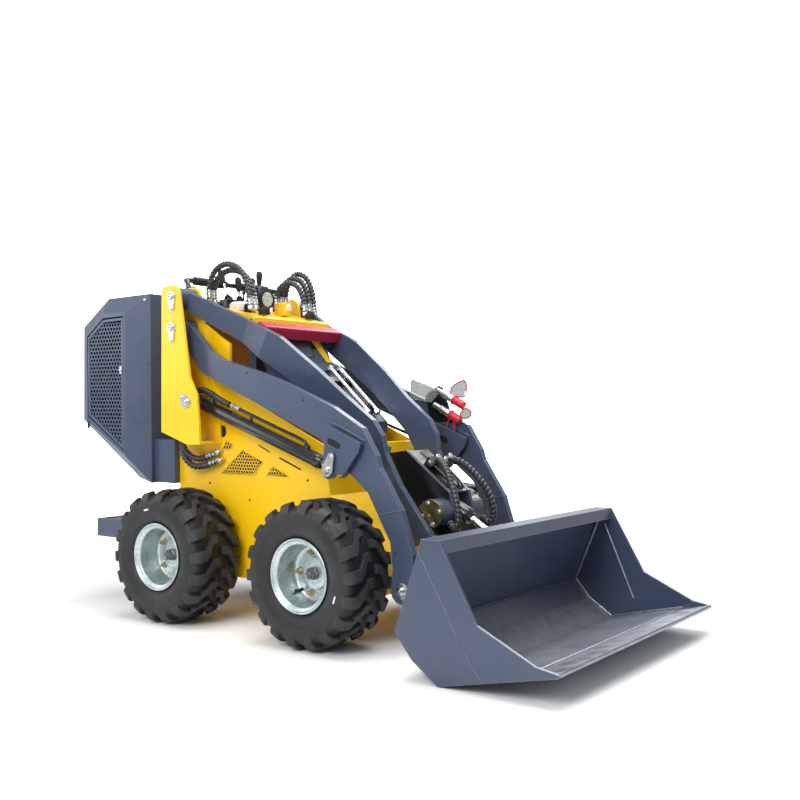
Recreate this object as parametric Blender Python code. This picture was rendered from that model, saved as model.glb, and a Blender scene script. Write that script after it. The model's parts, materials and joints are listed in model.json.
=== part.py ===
# Stand-on wheeled skid steer loader with parallel lift arms and a bucket.
# Metres. +X forward, +Y the machine's left, +Z up. Lengths are measured from mid wheelbase on the
# ground, and everything is moved by midX at the end so that the box is centred on the origin.
import bpy
import bmesh
import math
from mathutils import Vector

for old in list(bpy.data.objects):
    bpy.data.objects.remove(old, do_unlink=True)

gap = 0.0003          # clearance between pieces that bear on each other
pinPlay = 0.003       # side play of a pinned eye

# running gear
wheelbase = 0.657
tyreRadius = 0.2285
tyreWidth = 0.214
wheelY = 0.383        # middle of a tyre
flangeRadius = 0.1155
wellRadius = 0.1005
axleRadius = 0.045
hubFaceY = 0.385      # where the wheel bolts on

# body
tubY = 0.255          # outer face of the yellow side plates
tubWall = 0.012
postOuterY = 0.3625   # outer face of a post
postPlate = 0.010
hoodY = 0.300
doorY = 0.362
hoodWall = 0.006
doorPlate = 0.008
doorGap = 0.005

# lift linkage, as (x, z)
pinUpper = (-0.382, 1.134)
pinLower = (-0.382, 1.024)
linkRise = pinUpper[1] - pinLower[1]
pinHitch = (0.600, 0.190)
pinHitchTop = (pinHitch[0], pinHitch[1] + linkRise)
pinCylBase = (-0.303, 0.760)
pinCylRod = (0.330, 0.545)
armMidY = 0.300
armPlate = 0.024
upperBeamY = 0.205    # inner face of an upper arm at the cross beam
upperFrontY = 0.130   # and at its front pin
bossRadius = 0.035

# bucket and tilt
pinBucket = (0.665, 0.150)
pinTiltBase = (0.360, 0.557)
pinTiltRod = (0.735, 0.330)
bucketY = 0.537
bucketPlate = 0.010
lipX = 1.245
hoodRearX = -0.974
midX = (lipX + hoodRearX) / 2

colours = {
    "yellow": (1.0, 0.60, 0.015),
    "slate": (0.075, 0.095, 0.155),
    "crimson": (0.30, 0.012, 0.03),
    "black": (0.02, 0.02, 0.022),
    "iron": (0.08, 0.08, 0.085),
    "steel": (0.55, 0.55, 0.56),
    "zinc": (0.40, 0.46, 0.45),
    "rubber": (0.028, 0.029, 0.031),
    "white": (0.75, 0.75, 0.72),
    "brass": (0.22, 0.17, 0.08),
}
metallic = {"iron", "steel", "zinc", "brass"}


def give(obj, colour):
    mat = bpy.data.materials.new(obj.name + "_" + colour)
    mat.use_nodes = True
    shader = mat.node_tree.nodes["Principled BSDF"]
    shader.inputs["Base Color"].default_value = (*colours[colour], 1)
    shader.inputs["Metallic"].default_value = 1.0 if colour in metallic else 0.0
    shader.inputs["Roughness"].default_value = 0.45
    obj.data.materials.clear()
    obj.data.materials.append(mat)
    return obj


def solid(name, bm, smooth=False):
    bmesh.ops.recalc_face_normals(bm, faces=bm.faces)
    mesh = bpy.data.meshes.new(name)
    bm.to_mesh(mesh)
    bm.free()
    obj = bpy.data.objects.new(name, mesh)
    bpy.context.scene.collection.objects.link(obj)
    if smooth:
        roundShade(obj)
    return obj


def roundShade(obj):
    for face in obj.data.polygons:
        face.use_smooth = True
    obj.data.set_sharp_from_angle(angle=math.radians(32))


def rounded(points, radii, steps=4):
    """The outline with each corner turned into an arc of its radius."""
    out = []
    count = len(points)
    for i, point in enumerate(points):
        radius = radii[i] if isinstance(radii, (list, tuple)) else radii
        here = Vector(point)
        before = Vector(points[i - 1]) - here
        after = Vector(points[(i + 1) % count]) - here
        if radius <= 0:
            out.append(tuple(here))
            continue
        half = before.angle(after) / 2
        back = min(radius / math.tan(half), 0.49 * before.length, 0.49 * after.length)
        start = here + before.normalized() * back
        end = here + after.normalized() * back
        for k in range(steps + 1):
            t = k / steps
            out.append(tuple(start * (1 - t) ** 2 + here * 2 * t * (1 - t) + end * t * t))
    return out


def arc(centre, radius, start, end, steps):
    """Points on an arc, angles in degrees."""
    out = []
    for k in range(steps + 1):
        a = math.radians(start + (end - start) * k / steps)
        out.append((centre[0] + radius * math.cos(a), centre[1] + radius * math.sin(a)))
    return out


def placed(axis, u, v, w):
    if axis == "Y":
        return (u, w, v)
    if axis == "X":
        return (w, u, v)
    return (u, v, w)


def prism(name, outline, low, high, axis="Y"):
    """The outline carried from low to high: (x, z) along Y, (y, z) along X, (x, y) along Z."""
    bm = bmesh.new()
    ends = []
    for w in (low, high):
        ends.append([bm.verts.new(placed(axis, u, v, w)) for u, v in outline])
    bm.faces.new(ends[0])
    bm.faces.new(ends[1][::-1])
    count = len(outline)
    for i in range(count):
        j = (i + 1) % count
        bm.faces.new((ends[0][i], ends[1][i], ends[1][j], ends[0][j]))
    return solid(name, bm)


def box(name, x0, x1, y0, y1, z0, z1):
    return prism(name, [(x0, z0), (x1, z0), (x1, z1), (x0, z1)], y0, y1)


def disc(name, centre, radius, low, high, steps=20):
    return prism(name, arc(centre, radius, 0, 360 - 360 / steps, steps - 1), low, high)


def lofted(name, sections):
    """Rings with equal point counts joined in order and closed at both ends."""
    bm = bmesh.new()
    rings = [[bm.verts.new(p) for p in ring] for ring in sections]
    bm.faces.new(rings[0])
    bm.faces.new(rings[-1][::-1])
    for one, two in zip(rings, rings[1:]):
        for i in range(len(one)):
            j = (i + 1) % len(one)
            bm.faces.new((one[i], two[i], two[j], one[j]))
    return solid(name, bm)


def turned(name, profile, centre, steps=32, closed=False):
    """The profile of (radius, y) turned about a line along Y through centre (x, z)."""
    bm = bmesh.new()
    rings = []
    for radius, y in profile:
        if radius == 0:
            rings.append([bm.verts.new((centre[0], y, centre[1]))])
            continue
        ring = arc(centre, radius, 0, 360 - 360 / steps, steps - 1)
        rings.append([bm.verts.new((x, y, z)) for x, z in ring])
    pairs = list(zip(rings, rings[1:]))
    if closed:
        pairs.append((rings[-1], rings[0]))
    for one, two in pairs:
        for i in range(steps):
            j = (i + 1) % steps
            if len(one) == 1:
                bm.faces.new((one[0], two[i], two[j]))
            elif len(two) == 1:
                bm.faces.new((one[i], two[0], one[j]))
            else:
                bm.faces.new((one[i], two[i], two[j], one[j]))
    return solid(name, bm, smooth=True)


def tube(name, path, radius, sides=12):
    """A round bar along the path, with flat ends."""
    points = [Vector(p) for p in path]
    bm = bmesh.new()
    rings = []
    across = None
    for i, point in enumerate(points):
        ahead = points[min(i + 1, len(points) - 1)] - points[max(i - 1, 0)]
        ahead.normalize()
        if across is None:
            side = Vector((0, 1, 0)) if abs(ahead.y) < 0.8 else Vector((1, 0, 0))
            across = ahead.cross(side).normalized()
        across = (across - ahead * across.dot(ahead)).normalized()
        third = ahead.cross(across)
        ring = []
        for k in range(sides):
            a = 2 * math.pi * k / sides
            ring.append(bm.verts.new(point + (across * math.cos(a) + third * math.sin(a)) * radius))
        rings.append(ring)
    bm.faces.new(rings[0])
    bm.faces.new(rings[-1][::-1])
    for one, two in zip(rings, rings[1:]):
        for i in range(sides):
            j = (i + 1) % sides
            bm.faces.new((one[i], two[i], two[j], one[j]))
    return solid(name, bm, smooth=True)


def smoothPath(points, parts=5):
    """A curve through the points, cut into short straight runs."""
    pts = [Vector(p) for p in points]
    pts = [pts[0] * 2 - pts[1]] + pts + [pts[-1] * 2 - pts[-2]]
    out = []
    for a, b, c, d in zip(pts, pts[1:], pts[2:], pts[3:]):
        for k in range(parts):
            t = k / parts
            out.append(
                0.5 * (2 * b + (c - a) * t + (2 * a - 5 * b + 4 * c - d) * t * t
                       + (3 * b - 3 * c + d - a) * t ** 3)
            )
    out.append(pts[-2])
    return out


def combine(base, others, operation):
    for other in others:
        modifier = base.modifiers.new(operation, "BOOLEAN")
        modifier.operation = operation
        modifier.solver = "EXACT"
        modifier.object = other
    graph = bpy.context.evaluated_depsgraph_get()
    mesh = bpy.data.meshes.new_from_object(base.evaluated_get(graph))
    base.modifiers.clear()
    base.data = mesh
    for other in others:
        bpy.data.objects.remove(other, do_unlink=True)
    return base


def fuse(base, *others):
    return combine(base, others, "UNION")


def cut(base, *cutters):
    return combine(base, cutters, "DIFFERENCE")


sides = (("right", -1), ("left", 1))


def span(side, near, far):
    """The two Y values of a piece between |Y| near and far on one side, low first."""
    return (near, far) if side > 0 else (-far, -near)


# ---------------------------------------------------------------- body tub
tubOutline = [
    (-0.460, 0.150), (0.440, 0.140), (0.503, 0.290), (0.268, 0.455), (0.240, 0.617), (-0.160, 0.790),
    (-0.200, 0.830), (-0.200, 0.965), (-0.330, 1.040), (-0.460, 1.085),
]
tub = prism("body_tub", tubOutline, -tubY, tubY)
tubInside = [
    (-0.440, 0.162), (0.432, 0.152), (0.487, 0.288), (0.256, 0.449), (0.232, 0.627), (-0.160, 0.810),
    (-0.200, 0.850), (-0.200, 1.220), (-0.440, 1.220),
]
hollowY = tubY - tubWall
lowHollow = prism("lowHollow", tubInside, -hollowY, hollowY)
highHollow = box("highHollow", -0.430, 0.200, -hollowY, hollowY, 0.600, 1.200)
cut(tub, lowHollow, highHollow)
for side in (-1, 1):
    for x in (-wheelbase / 2, wheelbase / 2):
        low, high = span(side, hollowY - 0.01, tubY + 0.01)
        cut(tub, disc("axleHole", (x, tyreRadius), axleRadius + gap, low, high, 32))
give(tub, "yellow")

# ---------------------------------------------------------------- posts
postOutline = [
    (-0.436, 0.653), (-0.298, 0.610), (-0.236, 0.612), (-0.240, 0.690), (-0.251, 0.785), (-0.287, 0.844),
]
postOutline += arc(pinUpper, 0.042, 8, 90, 6)
postOutline += [(-0.424, 1.172), (-0.436, 1.158)]
for word, side in sides:
    low, high = span(side, postOuterY - postPlate, postOuterY)
    post = prism("post_" + word, postOutline, low, high)
    low, high = span(side, tubY + gap, tubY + gap + postPlate)
    innerPlate = prism("inner", postOutline, low, high)
    low, high = span(side, tubY + gap + 0.001, postOuterY - 0.001)
    web = box("web", -0.435, -0.425, low, high, 0.654, 1.157)
    shelf = box("shelf", -0.318, -0.237, low, high, 0.6135, 0.6235)
    low, high = span(side, tubY + gap + 0.002, postOuterY - 0.002)
    base = disc("base", pinCylBase, 0.016, low, high, 20)
    fuse(post, innerPlate, web, shelf, base)
    give(post, "yellow")

# ---------------------------------------------------------------- console deck
deckY = 0.200
deck = prism(
    "console_deck",
    [
        (-0.424, 1.096), (-0.424, 1.124), (-0.140, 1.066), (-0.132, 1.060), (-0.132, 1.030), (-0.139, 1.030),
        (-0.140, 1.053),
    ],
    -deckY, deckY,
)
knobs = []
for y in (-0.124, 0.124):
    stem = prism("stem", arc((-0.158, y), 0.006, 0, 330, 11), 1.060, 1.080, "Z")
    corners = [(-0.170, y - 0.019), (-0.146, y - 0.019), (-0.146, y + 0.019), (-0.170, y + 0.019)]
    grip = prism("grip", rounded(corners, 0.008, 2), 1.076, 1.094, "Z")
    knobs += [stem, grip]
tunnel = box("tunnel", -0.4395, -0.420, -hollowY + gap, hollowY - gap, 1.02, 1.118)
fuse(deck, tunnel, *knobs)
give(deck, "yellow")

# ---------------------------------------------------------------- front guard over the pump bay
guardY = 0.165
guardOutline = [
    (-0.139, 1.028), (-0.085, 0.905), (-0.020, 0.868), (0.180, 0.690), (0.180, 0.652), (-0.150, 0.806), (-0.190, 0.845),
    (-0.190, 1.028),
]
guard = prism("front_guard", guardOutline, -guardY, guardY)
hollow = prism(
    "hollow",
    [(-0.147, 1.10), (-0.093, 0.901), (-0.026, 0.860), (0.150, 0.703), (0.150, 0.55), (-0.184, 0.70), (-0.184, 1.10)],
    -guardY + 0.006, guardY - 0.006,
)
window = prism("window", rounded([(-0.160, 0.865), (-0.100, 0.865), (-0.160, 0.960)], 0.006, 2), -0.3, 0.3)
cut(guard, hollow, window)
give(guard, "slate")

# ---------------------------------------------------------------- hood and its two grille doors
hoodOutline = [
    (hoodRearX, 0.691), (hoodRearX, 1.055), (-0.817, 1.159), (-0.575, 1.163), (-0.564, 0.460), (-0.632, 0.477)
]
panelOutline = [(-0.868, 0.692), (-0.881, 1.020), (-0.774, 1.091), (-0.644, 1.092), (-0.644, 0.564), (-0.689, 0.590)]


def shrunk(outline, by):
    cx = sum(p[0] for p in outline) / len(outline)
    cz = sum(p[1] for p in outline) / len(outline)
    out = []
    for x, z in outline:
        away = Vector((x - cx, z - cz))
        out.append((x - away.x / away.length * by, z - away.y / away.length * by))
    return out


def hoodRings(panel, base, outY, baseY):
    rings = []
    for outline, y in ((panel, -outY), (base, -baseY), (base, baseY), (panel, outY)):
        rings.append([(x, y, z) for x, z in outline])
    return rings


hood = lofted("hood", hoodRings(panelOutline, hoodOutline, doorY, hoodY))
hoodInside = lofted(
    "inside",
    hoodRings(shrunk(panelOutline, 0.010), shrunk(hoodOutline, 0.009), doorY - doorPlate - 0.004, hoodY - hoodWall),
)
opening = shrunk([panelOutline[i] for i in (0, 1, 2, 3, 4)], 0.014)
doorways = []
for side in (-1, 1):
    low, high = span(side, 0.20, 0.40)
    doorways.append(prism("doorway", opening, low, high))
cut(hood, hoodInside, *doorways)
bulkhead = box("bulkhead", -0.5755, -0.460 - gap, -0.280, 0.280, 0.462, 0.620)
fuse(hood, bulkhead)
give(hood, "slate")
doorOutline = shrunk(opening, doorGap * 1.25)
doorHingeX = min(p[0] for p in doorOutline)
for word, side in sides:
    low, high = span(side, doorY - doorPlate, doorY)
    give(prism("grille_" + word, doorOutline, low, high), "black")

# ---------------------------------------------------------------- engine block and step
engine = box("engine", -0.810, -0.590, -0.205, 0.205, 0.605, 1.000)
give(engine, "iron")

stepY = 0.250
stepWall = 0.008
step = box("step_platform", -0.955, -0.460 - gap, -stepY, stepY, 0.230, 0.300)
cut(step, box("pan", -0.947, -0.470, -stepY + stepWall, stepY - stepWall, 0.200, 0.292))
give(step, "slate")

# ---------------------------------------------------------------- axles
for word, x in (("front", wheelbase / 2), ("rear", -wheelbase / 2)):
    profile = [
        (0, -hubFaceY), (0.052, -hubFaceY), (0.052, -hubFaceY + 0.012), (0.038, -hubFaceY + 0.014),
        (0.038, -0.300), (0.068, -0.296), (0.068, -tubY - gap), (axleRadius, -tubY - gap),
    ]
    profile += [(r, -y) for r, y in reversed(profile)]
    give(turned("axle_" + word, profile, (x, tyreRadius)), "iron")

# ---------------------------------------------------------------- wheels
half = tyreWidth / 2
tyreProfile = [
    (wellRadius + 2 * gap, -0.0840), (0.1165, -0.0862), (0.135, -0.099), (0.160, -half), (0.188, -half + 0.002),
    (0.212, -0.096), (0.2245, -0.084), (tyreRadius, -0.060),
]
tyreProfile += [(r, -y) for r, y in reversed(tyreProfile)]
rimProfile = [
    (0, 0.020), (0.050, 0.020), (0.052, 0.008), (0.086, 0.006), (0.092, 0.020), (0.0945, 0.0870), (0.1115, 0.0945),
    (flangeRadius, 0.0925), (flangeRadius - 0.001, 0.0875), (wellRadius, 0.0850), (wellRadius, -0.0850),
    (flangeRadius - 0.001, -0.0875), (flangeRadius, -0.0925), (0.1115, -0.0945), (0.0945, -0.0870), (0.088, 0.000),
    (0.060, hubFaceY + gap - wheelY), (0, hubFaceY + gap - wheelY),
]
for end, x in (("front", wheelbase / 2), ("rear", -wheelbase / 2)):
    for word, side in sides:
        name = end + "_" + word
        ring = [(r, side * (wheelY + y)) for r, y in tyreProfile]
        give(turned("tyre_" + name, ring, (x, tyreRadius), 32, closed=True), "rubber")
        ring = [(r, side * (wheelY + y)) for r, y in rimProfile]
        give(turned("rim_" + name, ring, (x, tyreRadius), 24), "zinc")

# ---------------------------------------------------------------- lower arms
lowerTop = [
    (-0.234, 0.936), (-0.173, 0.906), (-0.015, 0.865), (0.125, 0.822), (0.328, 0.743), (0.446, 0.678),
    (0.501, 0.593), (0.512, 0.557), (0.596, 0.431), (0.640, 0.299),
]
lowerBottom = [
    (0.566, 0.250), (0.556, 0.332), (0.470, 0.478), (0.402, 0.531), (0.269, 0.644), (-0.173, 0.819),
    (-0.279, 0.863), (-0.336, 0.925),
]
lowerOutline = arc(pinLower, bossRadius, 200, 55, 6) + lowerTop
lowerOutline += arc(pinHitch, 0.043, 12, -168, 8) + lowerBottom + [(-0.392, 0.992)]
cheekNear = armMidY - 0.0345      # inner face of a bracket's inner cheek
cheekFar = armMidY + 0.0345
cheekPlate = 0.012
for word, side in sides:
    low, high = span(side, armMidY - armPlate / 2, armMidY + armPlate / 2)
    arm = prism("lower_arm_" + word, lowerOutline, low, high)
    pieces = []
    low, high = span(side, tubY + gap + postPlate + pinPlay, postOuterY - postPlate - pinPlay)
    pieces.append(disc("boss", pinLower, bossRadius - 0.001, low, high))
    cheek = [(0.318, 0.688), (0.457, 0.632), (0.448, 0.604), (0.388, 0.530)]
    cheek += arc(pinCylRod, 0.030, -25, -165, 6)
    for near in (cheekNear, cheekFar - cheekPlate):
        pieces.append(prism("cheek", cheek, *span(side, near, near + cheekPlate)))
    spacer = [(0.330, 0.672), (0.445, 0.625), (0.435, 0.606), (0.337, 0.646)]
    pieces.append(prism("spacer", spacer, *span(side, cheekNear + 0.001, cheekFar - 0.001)))
    for near in (cheekNear - 0.0055, cheekFar - 0.0005):
        pieces.append(disc("pinHead", pinCylRod, 0.018, *span(side, near, near + 0.006), 16))
    fuse(arm, *pieces)
    give(arm, "slate")

# ---------------------------------------------------------------- upper arms: stations of (top, bottom, inner |Y|)
armInner = armMidY - armPlate / 2
upperStations = [
    ((-0.392, 1.166), (-0.392, 1.100), armInner), ((-0.345, 1.150), (-0.358, 1.084), armInner),
    ((-0.135, 1.048), (-0.165, 0.972), upperBeamY), ((-0.040, 1.007), (-0.085, 0.914), upperBeamY),
    ((0.007, 0.985), (-0.040, 0.887), 0.198), ((0.160, 0.871), (0.080, 0.812), 0.178),
    ((0.270, 0.778), (0.175, 0.745), 0.157), ((0.376, 0.700), (0.278, 0.652), 0.148),
    ((0.410, 0.650), (0.314, 0.600), 0.142), ((0.420, 0.592), (0.333, 0.540), 0.138),
    ((0.476, 0.489), (0.380, 0.440), 0.132), ((0.537, 0.410), (0.449, 0.354), upperFrontY),
    ((0.601, 0.330), (0.535, 0.300), upperFrontY),
]
for word, side in sides:
    rings = []
    for top, bottom, near in upperStations:
        far = near + armPlate
        ring = [(top, near), (top, far), (bottom, far), (bottom, near)]
        rings.append([(p[0], side * y, p[1]) for p, y in ring])
    arm = lofted("upper_arm_" + word, rings)
    low, high = span(side, tubY + gap + postPlate + pinPlay, postOuterY - postPlate - pinPlay)
    rear = disc("rear", pinUpper, bossRadius, low, high)
    low, high = span(side, upperFrontY + 0.0005, upperFrontY + armPlate - 0.0005)
    front = disc("front", pinHitchTop, 0.040, low, high)
    fuse(arm, rear, front)
    give(arm, "slate")
beam = prism(
    "cross_beam",
    rounded([(-0.128, 1.006), (-0.107, 1.045), (-0.067, 1.024), (-0.088, 0.984)], 0.006, 2),
    -upperBeamY + gap, upperBeamY - gap,
)
give(beam, "crimson")

# ---------------------------------------------------------------- hitch frame
hitchOutline = arc(pinTiltBase, 0.034, 235, 75, 6) + [(0.432, 0.600), (0.604, 0.470), (0.640, 0.350), (0.652, 0.230)]
hitchOutline += arc(pinBucket, 0.028, 60, -110, 5)
hitchOutline += [(0.590, 0.150), (0.560, 0.200), (0.545, 0.330), (0.490, 0.400)]
hitch = prism("hitch_frame", hitchOutline, -0.060, -0.050)
parts = [prism("plate", hitchOutline, 0.050, 0.060)]
tubeEnd = armInner - pinPlay
parts.append(
    turned("tube", [(0, -tubeEnd), (0.030, -tubeEnd), (0.030, tubeEnd), (0, tubeEnd)], pinHitch, 24)
)
for side in (-1, 1):
    parts.append(disc("stub", pinHitchTop, 0.024, *span(side, 0.0505, upperFrontY - pinPlay), 20))
    parts.append(disc("drum", (0.573, 0.404), 0.046, *span(side, 0.0515, 0.1205), 28))
parts.append(prism("cover", [(0.427, 0.591), (0.432, 0.598), (0.602, 0.4695), (0.597, 0.4625)], -0.059, 0.059))
parts.append(disc("tiltPin", pinTiltBase, 0.011, -0.059, 0.059, 16))
parts.append(disc("bucketPin", pinBucket, 0.0105, -0.078, 0.078, 16))
fuse(hitch, *parts)
give(hitch, "slate")

# ---------------------------------------------------------------- bucket
bucketBack = [(0.832, 0.388), (0.814, 0.337), (0.742, 0.127), (0.800, 0.058), (0.885, 0.0)]
lipLow = (lipX - 0.004, 0.078)
lipHigh = (lipX, 0.088)
sideOutline = bucketBack + [lipLow, lipHigh, (1.180, 0.098), (1.008, 0.178), (0.888, 0.388)]
shellOutline = bucketBack + [
    (1.150, 0.0615), (1.150, 0.0695), (0.887, 0.0087), (0.804, 0.066), (0.7515, 0.129), (0.8225, 0.336),
    (0.8405, 0.388),
]
bucket = prism("bucket_shell", shellOutline, -bucketY + 0.002, bucketY - 0.002)
parts = []
for side in (-1, 1):
    parts.append(prism("cheek", sideOutline, *span(side, bucketY - bucketPlate, bucketY)))
    ear = arc(pinBucket, 0.028, 235, 95, 6) + [(0.772, 0.205), (0.752, 0.135), (0.752, 0.118)]
    earPiece = prism("ear", ear, *span(side, 0.0640, 0.0760))
    parts.append(cut(earPiece, disc("bore", pinBucket, 0.0110, -0.1, 0.1, 16)))
    lug = arc(pinTiltRod, 0.022, 250, 110, 6) + [(0.818, 0.345), (0.792, 0.265)]
    parts.append(prism("lug", lug, *span(side, 0.0205, 0.0325)))
parts.append(box("rail", 0.828, 0.889, -bucketY + 0.001, bucketY - 0.001, 0.352, 0.3885))
for side in (-1, 1):
    parts.append(disc("tiltPin", pinTiltRod, 0.0150, *span(side, 0.0320, 0.0360), 16))
fuse(bucket, *parts)
give(bucket, "slate")
edge = prism(
    "cutting_edge",
    [(1.1505, 0.0605), (lipX - 0.003, 0.0785), (lipX, 0.0870), (lipX - 0.004, 0.0905), (1.1505, 0.0705)],
    -bucketY + bucketPlate + gap, bucketY - bucketPlate - gap,
)
give(edge, "steel")

# ---------------------------------------------------------------- cylinders
rodSpare = 0.064      # how far a rod can go in from rest


def cylinder(name, base, tip, y, barrelLength, rodStart, barrelRadius, rodRadius, eyeHalf, eyeBore, eyeRadius):
    """A barrel pinned at base and a rod pinned at tip, both (x, z), in the plane of y."""
    line = Vector((tip[0] - base[0], 0, tip[1] - base[1]))
    line.normalize()
    boreStart = rodStart - rodSpare
    start = Vector((base[0], y, base[1]))
    end = Vector((tip[0], y, tip[1]))
    barrelEnds = [start + line * (eyeRadius * 0.7), start + line * barrelLength]
    barrel = tube(name + "_barrel", barrelEnds, barrelRadius, 20)
    eye = disc("eye", base, eyeRadius, y - eyeHalf, y + eyeHalf, 24)
    fuse(barrel, eye)
    boreEnds = [start + line * boreStart, start + line * (barrelLength + 0.01)]
    bore = tube("bore", boreEnds, rodRadius + 2 * gap, 16)
    pin = disc("pin", base, eyeBore, y - 0.1, y + 0.1, 20)
    cut(barrel, bore, pin)
    rod = tube(name + "_rod", [start + line * rodStart, end - line * (eyeRadius * 0.7)], rodRadius, 16)
    eye = disc("eye", tip, eyeRadius, y - eyeHalf, y + eyeHalf, 24)
    fuse(rod, eye)
    cut(rod, disc("pin", tip, eyeBore, y - 0.1, y + 0.1, 20))
    give(barrel, "black")
    give(rod, "steel")


liftSizes = {
    "barrelLength": 0.610, "rodStart": 0.207, "barrelRadius": 0.024, "rodRadius": 0.0125, "eyeHalf": 0.020,
    "eyeBore": 0.0168, "eyeRadius": 0.026,
}
tiltSizes = {
    "barrelLength": 0.335, "rodStart": 0.097, "barrelRadius": 0.026, "rodRadius": 0.0125, "eyeHalf": 0.018,
    "eyeBore": 0.0117, "eyeRadius": 0.024,
}
for word, side in sides:
    cylinder("lift_" + word, pinCylBase, pinCylRod, side * armMidY, **liftSizes)
cylinder("tilt", pinTiltBase, pinTiltRod, 0, **tiltSizes)

# ---------------------------------------------------------------- hoses, each run held at both ends
hoseRadius = 0.011


def hoseSet(name, runs, block, colour="rubber"):
    """Several hoses whose ends are buried in one fitting block each."""
    first, *rest = [tube("run", smoothPath(run, 3), hoseRadius, 8) for run in runs]
    first.name = name
    fuse(first, *rest, *block)
    return give(first, colour)


deckCut = [
    (-0.45, 1.0), (-0.10, 1.0), (-0.10, 1.0585), (-0.132, 1.0605), (-0.140, 1.0664), (-0.424, 1.1244),
    (-0.45, 1.1298),
]
# how far along from the rear foot to the front foot, and how high, each point of a loop lies
loopShape = [(0, 1.112), (-0.02, 1.180), (0.11, 1.238), (0.40, 1.262), (0.72, 1.240), (0.92, 1.180), (1, 1.080)]
loops = {"right": (-0.375, -0.165, (0.163, 0.186)), "left": (-0.335, -0.186, (0.125, 0.153, 0.181))}
for word, side in sides:
    rearX, frontX, places = loops[word]
    runs = []
    for k, y in enumerate(places):
        drop = 0.020 * (len(places) - 1 - k)
        run = []
        for along, z in loopShape:
            lower = drop * (z - 1.112) / 0.15 if z > 1.112 else 0
            run.append((rearX + (frontX - rearX) * along, side * y, z - lower))
        runs.append(run)
    low, high = span(side, places[0] - 0.0125, places[-1] + 0.0125)
    feet = [
        box("foot", rearX - 0.017, rearX + 0.017, low, high, 1.060, 1.136),
        box("foot", frontX - 0.015, frontX + 0.015, low, high, 1.040, 1.100),
    ]
    top = hoseSet("hoses_top_" + word, runs, feet)
    cut(top, prism("under", deckCut, -0.3, 0.3))

for word, side in sides:
    runs = []
    for drop, x in ((0.0, -0.262), (0.028, -0.250)):
        runs.append([
            (-0.398, side * 0.300, 0.700), (-0.398, side * 0.300, 0.640 - drop), (-0.385, side * 0.298, 0.590 - drop),
            (-0.345, side * 0.292, 0.560 - drop), (-0.300, side * 0.282, 0.560 - drop), (x, side * 0.268, 0.578 - drop),
        ])
    low, high = span(side, tubY + gap, 0.281)
    plates = [
        box("plate", -0.275, -0.236, low, high, 0.534, 0.596),
        box("clip", -0.416, -0.380, *span(side, tubY + 2 * gap + postPlate, 0.312), 0.682, 0.704),
    ]
    hoseSet("hoses_side_" + word, runs, plates)

# ---------------------------------------------------------------- steel pipes on the guard slope
pipes = []
for y in (-0.125, -0.070, 0.070, 0.125):
    pipes.append(tube("pipe", [(-0.020, y, 0.890), (0.170, y, 0.7213)], 0.010, 12))
slope = Vector((0.190, -0.1687))
slope.normalize()
up = Vector((-slope.y, slope.x))
for t in (0.05, 0.19):
    foot = Vector((-0.020, 0.868)) + slope * t
    ahead = foot + slope * 0.024
    corners = [foot + up * gap, ahead + up * gap, ahead + up * 0.022, foot + up * 0.022]
    pipes.append(prism("clamp", [tuple(c) for c in corners], -0.142, 0.142))
pipes[0].name = "steel_pipes"
give(fuse(pipes[0], *pipes[1:]), "steel")

# ---------------------------------------------------------------- controls and lamp on the deck


def deckZ(x):
    return 1.124 + (x + 0.424) * (1.066 - 1.124) / (-0.140 + 0.424)


barZ = 1.212
barPath = [
    (-0.432, -0.235, 1.1735), (-0.440, -0.235, 1.200), (-0.455, -0.210, barZ), (-0.455, 0.0, barZ),
    (-0.455, 0.210, barZ), (-0.440, 0.235, 1.200), (-0.432, 0.235, 1.1735),
]
handBar = tube("hand_bar", smoothPath(barPath, 4), 0.013, 12)
feet = []
for side in (-1, 1):
    feet.append(box("foot", -0.450, -0.412, *span(side, 0.214, 0.2425), 1.1185, 1.190))
fuse(handBar, *feet)
give(handBar, "black")

levers = box("control_levers", -0.415, -0.366, -0.105, 0.105, deckZ(-0.415) + gap, 1.150)
sticks = []
for y, lean, top in ((-0.078, -0.030, 1.262), (-0.020, -0.006, 1.236), (0.030, 0.010, 1.236), (0.082, 0.002, 1.268)):
    x = -0.390 + lean
    sticks.append(tube("stick", [(-0.390, y, 1.140), (x, y, top - 0.05)], 0.006, 10))
    grip = [(x, y, top - 0.056), (x + lean * 0.2, y, top - 0.012), (x + lean * 0.25, y, top)]
    sticks.append(tube("grip", grip, 0.012, 12))
fuse(levers, *sticks)
give(levers, "black")

lampProfile = [
    (0, -0.020), (0.030, -0.020), (0.037, -0.010), (0.037, 0.024), (0.031, 0.024), (0.029, 0.018), (0, 0.018),
]
lamp = turned("work_lamp", lampProfile, (0, 0), 24)
lampX, lampZ = -0.245, 1.142
for vertex in lamp.data.vertices:
    x, y, z = vertex.co
    vertex.co = (lampX + y, x - 0.040, lampZ + z)
yoke = box("yoke", lampX - 0.008, lampX + 0.008, -0.052, -0.028, deckZ(lampX) + 0.002, lampZ - 0.02)
fuse(lamp, yoke)
give(lamp, "black")

# ---------------------------------------------------------------- couplers on the left lower arm, hoses on the hitch
couplerY = armInner - 0.0055     # middle of the plate, just inside the left lower arm
couplerPlate = [(0.365, 0.7475), (0.435, 0.7100), (0.415, 0.800), (0.387, 0.815), (0.360, 0.790)]
couplers = prism("aux_couplers", couplerPlate, couplerY - 0.003, couplerY + 0.003)
pieces = [box("foot", 0.367, 0.423, couplerY - 0.002, couplerY + 0.005, 0.690, 0.760)]
for z in (0.792, 0.752):
    pieces.append(tube("coupler", [(0.370, couplerY, z + 0.008), (0.467, couplerY, z - 0.030)], 0.014, 14))
fuse(couplers, *pieces)
give(couplers, "zinc")

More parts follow.
